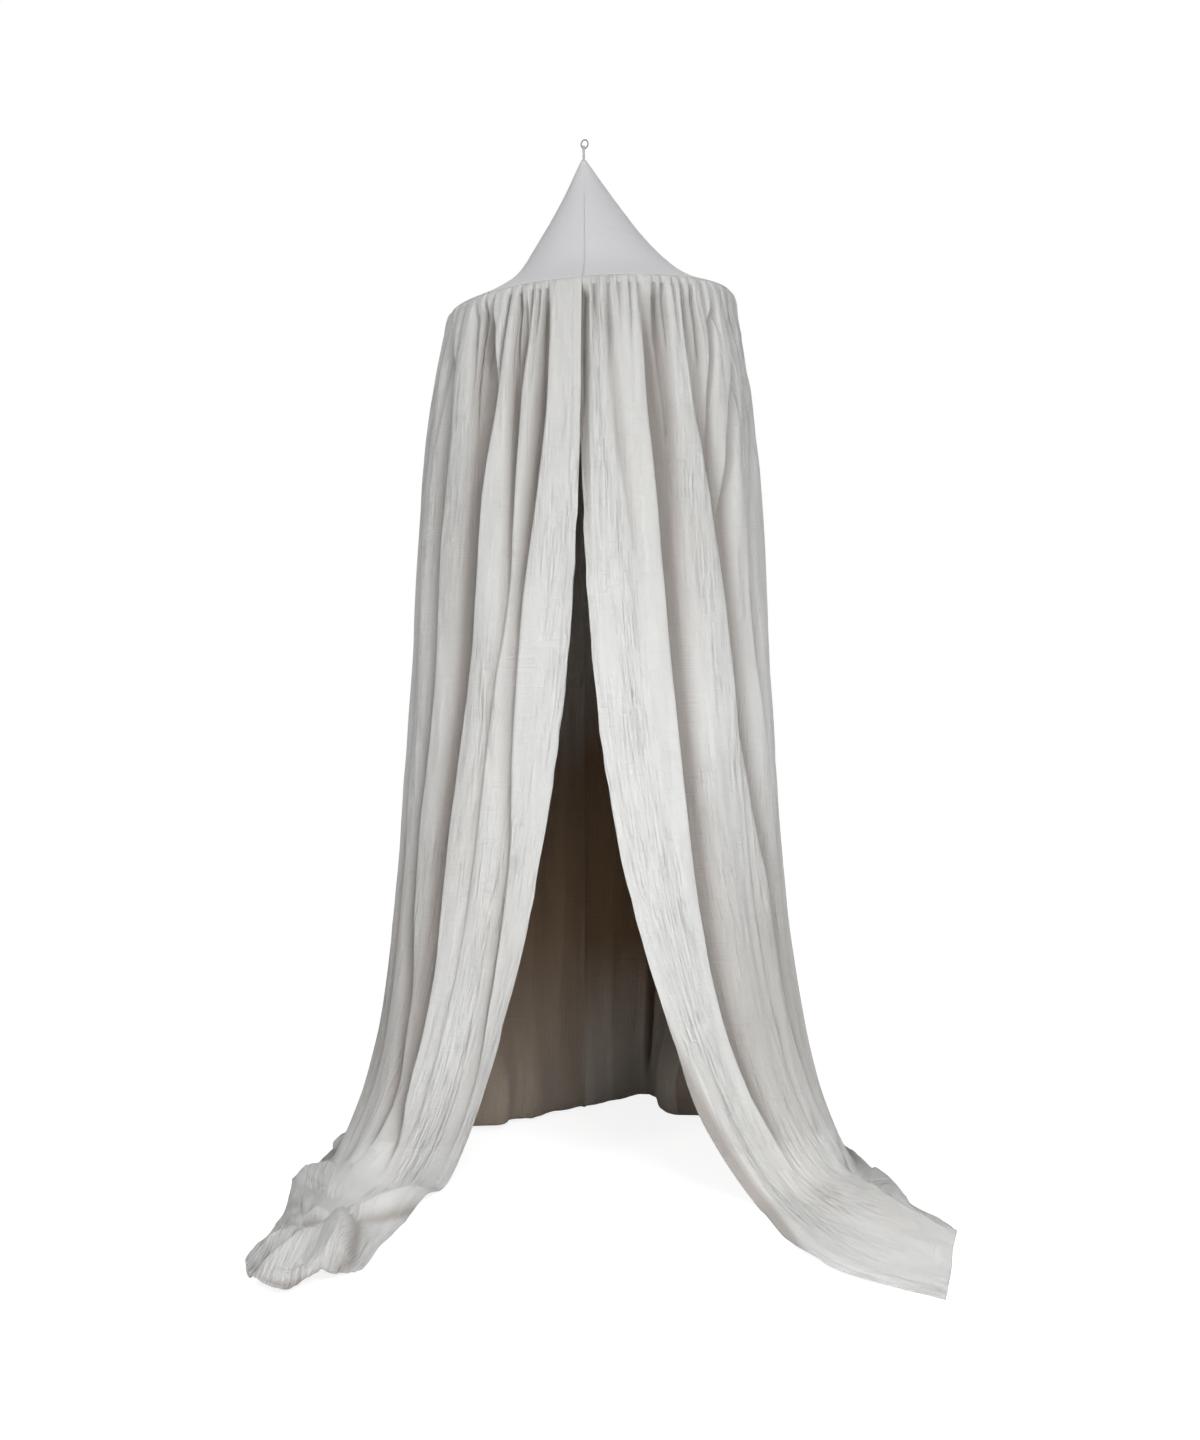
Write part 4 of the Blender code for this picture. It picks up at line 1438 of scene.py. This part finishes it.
@dataclass
class SkirtPanel:
    """One sewn panel of the skirt, between two directions, with a free front edge at one of them or none.

    The laps are in degrees, and least_degree is the least that a degree at the free edge may be in metres.
    """

    shape: SkirtShape
    name: str
    first: float
    last: float
    free_edge: float | None
    columns: int = 200
    rows: int = 238
    wall: float = 0.0012
    seam_lap: float = 0.1
    lap: float = 0.9
    lap_reach: float = 2.0
    least_degree: float = 0.0035
    stitch_column: int = 8
    stitch_row: int = 7
    # Share of the rows and their place along the cloth, close together under the gathers and on the floor.
    row_shares: tuple[float, ...] = (0.0, 0.05, 0.2, 0.62, 1.0)
    row_places: tuple[float, ...] = (0.0, 0.008, 0.07, 0.70, 1.0)
    # Distances of the first columns from the free edge in metres, close together over the hem.
    hem_steps: tuple[float, ...] = (
        0.0, 0.0012, 0.003, 0.006, 0.009, 0.012, 0.0135, 0.0145, 0.0153, 0.0165, 0.018, 0.021
    )

    def grid(self) -> tuple[np.ndarray, np.ndarray, np.ndarray | None]:
        """Directions, places along the cloth and distances from the free edge of the grid's points.

        Returns:
            Three grids. The last is None where the panel has no free edge.
        """
        rows = np.interp(np.linspace(0.0, 1.0, self.rows), self.row_shares, self.row_places)
        start = self.first - self.seam_lap
        end = self.last + self.seam_lap
        if self.free_edge is None:
            return *np.meshgrid(np.linspace(start, end, self.columns), rows), None
        inwards = 1.0 if self.free_edge == self.first else -1.0
        edge = np.full_like(rows, self.free_edge)
        step = self.shape.plain(edge + inwards, rows) - self.shape.plain(edge, rows)
        metres = np.maximum(np.linalg.norm(step, axis=-1), self.least_degree)[:, None]
        hem = np.array(self.hem_steps) / metres
        width = abs((end if inwards > 0 else start) - self.free_edge)
        share = np.linspace(0, 1, self.columns - len(self.hem_steps) + 1)[1:]
        offset = np.concatenate([hem, hem[:, -1:] + (width - hem[:, -1:]) * share], axis=1)
        order = slice(None) if inwards > 0 else slice(None, None, -1)
        direction = self.free_edge + inwards * offset[:, order]
        along = np.repeat(rows[:, None], self.columns, axis=1)
        return direction, along, (offset * metres)[:, order]

    def lapped(self, direction: np.ndarray, along: np.ndarray) -> np.ndarray:
        """Directions shifted where the right leaf's edge runs on behind the left leaf's.

        Args:
            direction: grid of directions in degrees.
            along: grid of places along the cloth.

        Returns:
            The shifted directions.
        """
        if self.free_edge != self.last:
            return direction
        lap = window(along / self.shape.hanging_share, (0.012, 0.05), (0.14, 0.26))
        return direction + self.lap * lap * bell(direction - self.last, self.lap_reach)

    def build(self, finishes: Finishes) -> bpy.types.Object:
        """Make the panel.

        Args:
            finishes: the canopy's materials.

        Returns:
            The panel's object.
        """
        direction, along, edge = self.grid()
        self.points, shades = self.shape.cloth(self.lapped(direction, along), along, edge)
        uv = np.stack(self.shape.on_cloth(direction, along), axis=-1)
        both = [finishes.muslin, finishes.muslin_inside_painted_shade]
        made = cloth_solid(self.name, self.points, self.wall, uv, both, shades)
        LOG.info("%s: %d faces", made.name, len(made.data.polygons))
        return made

    def stitch_lines(self) -> list[np.ndarray]:
        """Lines for the stitches.

        Returns:
            One line of points along the hem, and one along the free edge if there is one.
        """
        lines = [self.points[-1 - self.stitch_row]]
        if self.free_edge is not None:
            column = self.stitch_column if self.free_edge == self.first else -1 - self.stitch_column
            lines.append(self.points[:, column])
        return lines


# ---- the cone


@dataclass
class ConeCover:
    """The smooth cone over the hoop, sewn from two gores."""

    hoop: HoopFrame
    tip: tuple[float, float, float] = (-0.00293, 0.0, -0.03549)
    # Rise from 0 at the hoop to 1 at the tip, radius, and how far the middle shifts sideways.
    sections: tuple = (
        (0.0, 0.250, 0.0),
        (0.09, 0.1950, 0.0060),
        (0.21, 0.1460, 0.0110),
        (0.42, 0.0995, 0.0070),
        (0.70, 0.0505, 0.0050),
        (1.0, 0.0043, 0.0),
    )
    wall: float = 0.0010
    columns: int = 150
    rows: int = 110
    first_seam: float = 3.2
    seam_groove: float = 0.0002
    cloth_size: tuple[float, float] = (1.0, 0.42)

    def surface(self, direction: np.ndarray, fall: np.ndarray) -> np.ndarray:
        """Places on the cone.

        Args:
            direction: direction in degrees.
            fall: 0 at the tip to 1 at the hoop.

        Returns:
            Places with X Y Z as last axis.
        """
        rise = 1 - fall
        keys, radii, shifts = np.array(self.sections).T
        radius = curve_value(keys, radii, rise)
        shift = curve_value(keys, shifts, rise)
        angle = np.radians(direction)
        slack = window(fall, (0.05, 0.4), (0.9, 1.0))
        lump = 0.0009 * soft_noise(direction / 60, fall, 0.35, 0.45, 21)
        crease = 0.0003 * soft_noise(angle * radius, fall, 0.02, 0.5, 23)
        radius = radius + (lump + crease) * slack
        for seam in (self.first_seam, self.first_seam + 180, self.first_seam + 360):
            offset = (direction - seam) * math.pi / 180 * radius
            radius = radius - self.seam_groove * bell(offset, 0.0022) * ease(0.03, 0.1, fall)
        foot = np.array(self.hoop.centre) + np.array([0, 0, self.hoop.seam_rise])
        upright = np.stack([-np.sin(angle) * radius, -np.cos(angle) * radius, np.zeros_like(radius)], axis=-1)
        tilted = self.hoop.place(angle, radius, self.hoop.seam_rise) - foot
        middle = foot + (np.array(self.tip) - foot) * rise[..., None]
        middle[..., 0] += shift * np.sin(angle) ** 2
        return middle + tilted * fall[..., None] + upright * rise[..., None]

    def build(self, finishes: Finishes) -> None:
        """Make both gores.

        Args:
            finishes: the canopy's materials.
        """
        rows = 1 - (1 - np.linspace(0, 1, self.rows)) ** 1.25
        gores = []
        for index, name in enumerate(("cone_left_cover", "cone_right_cover")):
            first = self.first_seam + 180 * index
            direction, fall = np.meshgrid(np.linspace(first, first + 180, self.columns), rows)
            uv = np.stack([direction / 360 * self.cloth_size[0], fall * self.cloth_size[1]], axis=-1)
            points = self.surface(direction, fall)
            gores.append(cloth_solid(name, points, self.wall, uv, [finishes.cone_cloth]))
        for gore, node in zip(gores, ("cone_left_gore", "cone_right_gore")):
            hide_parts(node)
            rider(gore, Body.CANOPY)


# ---- ring, tape, casing and rods


@dataclass
class HangingRing:
    """The oval wire ring."""

    wire: float = 0.0012
    inner_width: float = 0.0095
    inner_height: float = 0.0129
    lean: float = math.radians(12)
    steps: int = 96
    sides: int = 20

    def place(self, turn: float) -> Vector:
        """Middle of the wire.

        Args:
            turn: turn from the top in radians.

        Returns:
            The place.
        """
        x = (self.inner_width / 2 + self.wire) * math.sin(turn)
        z = (self.inner_height / 2 + self.wire) * math.cos(turn) - self.inner_height / 2
        return Matrix.Rotation(self.lean, 4, "Y") @ Vector((x, 0, z))

    def build(self, finishes: Finishes) -> None:
        """Make the ring.

        Args:
            finishes: the canopy's materials.
        """
        path = [self.place(math.tau * step / self.steps) for step in range(self.steps)]
        made = tube("ring_wire", path, self.wire, self.sides, finishes.ring_steel)
        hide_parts("hanging_ring")
        rider(made, Body.RING)


@dataclass
class HangingTape:
    """The tape: an eye round the ring, two plies down through the cone's tip, and a knot under it."""

    eye: tuple[float, float, float] = (-0.00293, 0.0, -0.01265)
    eye_radius: float = 0.00285
    eye_opening: float = math.radians(44)
    eye_steps: int = 41
    ply_drop: float = 0.0035
    ply_steps: int = 15
    width: float = 0.0044
    ply: float = 0.0010
    ply_gap: float = 0.00052
    section_points: int = 12
    knot_z: float = -0.0437
    knot_steps: int = 120
    knot_wrap: tuple[float, float, float] = (0.0029, 0.0012, 0.0022)
    knot_radius: float = 0.0019
    knot_sides: int = 14

    def section(self) -> np.ndarray:
        """The ply's flat section with rounded edges.

        Returns:
            Points across the ply and out of it, one row each.
        """
        turns = math.tau * np.arange(self.section_points) / self.section_points
        cos = np.cos(turns)
        sin = np.sin(turns)
        across = np.copysign(np.abs(cos) ** 0.45, cos) * self.width / 2
        return np.stack([across, np.copysign(np.abs(sin) ** 0.6, sin) * self.ply / 2], axis=1)

    def path(self) -> np.ndarray:
        """The middle of the ply: up from the knot, round the ring and down again.

        Returns:
            Y and Z of its points.
        """
        middle = self.eye_radius + self.ply / 2
        turns = math.pi + self.eye_opening / 2
        turns = turns + (math.tau - self.eye_opening) * np.linspace(0, 1, self.eye_steps)
        eye = np.stack([np.sin(turns) * middle, self.eye[2] + np.cos(turns) * middle], axis=1)
        heights = np.linspace(self.knot_z, eye[0, 1] - self.ply_drop, self.ply_steps)
        lead = np.stack([np.full_like(heights, -self.ply_gap), heights], axis=1)
        trail = lead[::-1] * (-1, 1)
        return np.concatenate([lead, eye, trail])

    def build(self, finishes: Finishes) -> None:
        """Make the tape and its knot.

        Args:
            finishes: the canopy's materials.
        """
        path = self.path()
        tangent = unit(np.gradient(path, axis=0))
        normal = np.stack([tangent[:, 1], -tangent[:, 0]], axis=1)
        section = self.section()
        places = path[:, None] + normal[:, None] * section[None, :, 1:]
        across = np.broadcast_to(self.eye[0] + section[:, 0], places.shape[:2])
        points = np.concatenate([across[..., None], places], axis=-1).reshape(-1, 3)
        tape = mesh_object("tape_ply", points, tube_quads(len(path), len(section), closed=False))
        close_mesh(tape)
        tape.data.materials.append(finishes.tape_cloth)
        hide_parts("hanging_tape")
        rider(tape, Body.TAPE)
        rider(self.build_knot(finishes), Body.TAPE)

    def build_knot(self, finishes: Finishes) -> bpy.types.Object:
        """The overhand knot: a fat tape wound into a ball.

        Args:
            finishes: the canopy's materials.

        Returns:
            The knot's object.
        """
        path = []
        middle, swing, rise = self.knot_wrap
        for step in range(self.knot_steps):
            turn = math.tau * step / self.knot_steps
            wrap = middle + swing * math.cos(3 * turn)
            flat = (self.eye[0] + wrap * math.cos(2 * turn), wrap * math.sin(2 * turn))
            path.append(Vector((*flat, self.knot_z + rise * math.sin(3 * turn))))
        made = tube("tape_knot", path, self.knot_radius, self.knot_sides, finishes.tape_cloth)
        return made


@dataclass
class HoopCasing:
    """The cloth tunnel that holds the hoop, with its slot on the inner side."""

    hoop: HoopFrame
    outer: float = 0.00772
    wall: float = 0.0011
    slot_angle: float = math.radians(50)
    steps: int = 420
    sides: int = 22
    pucker: float = 0.00012
    puckers: tuple[int, int] = (64, 101)
    cloth_size: tuple[float, float] = (0.05, 1.5)

    def build(self, finishes: Finishes) -> None:
        """Make the casing.

        Args:
            finishes: the canopy's materials.
        """
        turns = np.linspace(math.pi + self.slot_angle / 2, 3 * math.pi - self.slot_angle / 2, self.sides)
        turns = np.concatenate([turns, turns[::-1]])
        walls = np.repeat([0.0, self.wall], self.sides)
        angles = np.linspace(0, math.tau, self.steps, endpoint=False)[:, None]
        chance = np.random.default_rng(5).uniform(0, math.tau, 3)
        waves = sum(np.sin(count * angles + shift) for count, shift in zip(self.puckers, chance))
        radius = self.outer + self.pucker * waves - walls
        distance = self.hoop.rod_circle + radius * np.cos(turns)
        points = self.hoop.place(angles, distance, radius * np.sin(turns))
        across = np.linspace(0, self.cloth_size[0], len(turns))
        along = np.linspace(0, self.cloth_size[1], self.steps)
        uv = np.stack(np.meshgrid(across, along), axis=-1).reshape(-1, 2)
        made = mesh_object("casing_tunnel", points.reshape(-1, 3), tube_quads(*radius.shape, closed=True), uv)
        close_mesh(made)
        made.data.materials.append(finishes.cone_cloth)
        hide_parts("hoop_casing")
        rider(made, Body.CANOPY)


def dress_hoop(finishes: Finishes) -> None:
    """Give the rods and sleeves of the hoop their finishes.

    Args:
        finishes: the canopy's materials.
    """
    dressings = {"hoop_rod": finishes.rod_fibre, "hoop_sleeve": finishes.sleeve_steel}
    for name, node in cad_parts.items():
        for start, finish in dressings.items():
            if name.startswith(start):
                node.material_slots[0].material = finish


# ---- stitches


class StitchMaker:
    """A Geometry Nodes tree that sets thread stitches along a line, with its default sizes in metres."""

    sizes: tuple = (("Pitch", 0.004), ("Stitch length", 0.0028), ("Thread radius", 0.0003))
    thread_faces: tuple[int, int] = (6, 4)

    def __init__(self, finish: bpy.types.Material) -> None:
        """Build the tree once.

        Args:
            finish: material of the thread.
        """
        self.tree = self.build_tree(finish)
        sockets = self.tree.interface.items_tree
        self.keys = {socket.name: socket.identifier for socket in sockets if socket.in_out == "INPUT"}

    def build_tree(self, finish: bpy.types.Material) -> bpy.types.NodeTree:
        """The tree: points at an even pitch, a thread on each, then one plain mesh.

        Args:
            finish: material of the thread.

        Returns:
            The node tree.
        """
        tree = bpy.data.node_groups.new("Stitch line", "GeometryNodeTree")
        tree.interface.new_socket("Geometry", in_out="INPUT", socket_type="NodeSocketGeometry")
        for label, default in self.sizes:
            socket = tree.interface.new_socket(label, in_out="INPUT", socket_type="NodeSocketFloat")
            socket.default_value = default
        tree.interface.new_socket("Geometry", in_out="OUTPUT", socket_type="NodeSocketGeometry")
        graph = NodeGraph(tree)
        start = graph.put("NodeGroupInput", {})
        curve = graph.put("GeometryNodeMeshToCurve", {"Mesh": start["Geometry"]})[0]
        spacing = {"Curve": curve, "Length": start["Pitch"]}
        spaced = graph.put("GeometryNodeResampleCurve", spacing, mode="LENGTH")[0]
        segments, rings = self.thread_faces
        sphere = {"Segments": segments, "Rings": rings, "Radius": start["Thread radius"]}
        thread = graph.put("GeometryNodeMeshUVSphere", sphere)["Mesh"]
        thickness = graph.math("MULTIPLY", start["Thread radius"], 2.0)
        ratio = graph.math("DIVIDE", start["Stitch length"], thickness)
        scale = graph.put("ShaderNodeCombineXYZ", {0: 1.0, 1: 1.0, 2: ratio})[0]
        stitch = graph.put("GeometryNodeTransform", {"Geometry": thread, "Scale": scale})[0]
        tangent = graph.put("GeometryNodeInputTangent", {})[0]
        turn = graph.put("FunctionNodeAlignRotationToVector", {"Vector": tangent}, axis="Z")[0]
        places = {"Points": spaced, "Instance": stitch, "Rotation": turn}
        stitches = graph.put("GeometryNodeInstanceOnPoints", places)[0]
        whole = graph.put("GeometryNodeRealizeInstances", {0: stitches})[0]
        dressed = graph.put("GeometryNodeSetMaterial", {"Geometry": whole, "Material": finish})[0]
        graph.put("NodeGroupOutput", {"Geometry": dressed})
        return tree

    def run(
        self, name: str, lines: list[np.ndarray], pitch: float = 0.0042, length: float = 0.0027
    ) -> bpy.types.Object:
        """Stitches along lines of points.

        Args:
            name: name of the object.
            lines: points of each line.
            pitch: distance between stitches in metres.
            length: length of one stitch in metres.

        Returns:
            One plain mesh of all the stitches.
        """
        points = []
        edges = []
        for line in lines:
            start = len(points)
            points += [tuple(point) for point in line]
            edges += [(start + step, start + step + 1) for step in range(len(line) - 1)]
        mesh = bpy.data.meshes.new(name + "_line")
        mesh.from_pydata(points, edges, [])
        guide = new_object(name + "_line", mesh)
        modifier = guide.modifiers.new("Stitches", "NODES")
        modifier.node_group = self.tree
        modifier[self.keys["Pitch"]] = pitch
        modifier[self.keys["Stitch length"]] = length
        graph = bpy.context.evaluated_depsgraph_get()
        result = bpy.data.meshes.new_from_object(guide.evaluated_get(graph), depsgraph=graph)
        result.name = name
        result.shade_smooth()
        made = new_object(name, result)
        bpy.data.objects.remove(guide, do_unlink=True)
        LOG.info("%s: %d faces", name, len(result.polygons))
        return made


# ---- the whole skirt


@dataclass
class Skirt:
    """The four panels with their hems and stitches; the back panels ride on the canopy, and the leaves stay
    where they are built.
    """

    shape: SkirtShape
    stitches: StitchMaker
    finishes: Finishes
    # A way, and where a leaf's bend would start and end along it, in radii of the hoop; nothing reads them.
    blend_way: tuple[float, float, float] = (0.0, -1.0, -0.1325)
    blend_start: float = 1.0
    blend_end: float = 1.76

    def build(self) -> None:
        """Make the panels and their stitches."""
        slit = self.shape.slit_direction
        left_seam, back_seam, right_seam = self.shape.seam_directions
        plans = (
            ("left_leaf", slit, left_seam, slit, Body.LEFT_CURTAIN, "front_left_panel"),
            ("back_left_cloth", left_seam, back_seam, None, Body.CANOPY, "back_left_panel"),
            ("back_right_cloth", back_seam, right_seam, None, Body.CANOPY, "back_right_panel"),
            ("right_leaf", right_seam, slit + 360, slit + 360, Body.RIGHT_CURTAIN, "front_right_panel"),
        )
        for name, first, last, free_edge, body, node in plans:
            panel = SkirtPanel(self.shape, name, first, last, free_edge)
            cloth = panel.build(self.finishes)
            thread = self.stitches.run(name + "_stitches", panel.stitch_lines())
            for piece in (cloth, thread):
                if body is Body.CANOPY:
                    rider(piece, body)
                else:
                    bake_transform(piece)
            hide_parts(node)


def main() -> None:
    """Build the studio and the canopy from the ring down."""
    logging.basicConfig(level=logging.INFO, format="%(name)s: %(message)s")
    Studio().build()
    finishes = Finishes()
    hoop = HoopFrame()
    HangingRing().build(finishes)
    HangingTape().build(finishes)
    ConeCover(hoop).build(finishes)
    HoopCasing(hoop).build(finishes)
    dress_hoop(finishes)
    Skirt(SkirtShape(hoop), StitchMaker(finishes.thread), finishes).build()


if __name__ == "__main__":
    main()
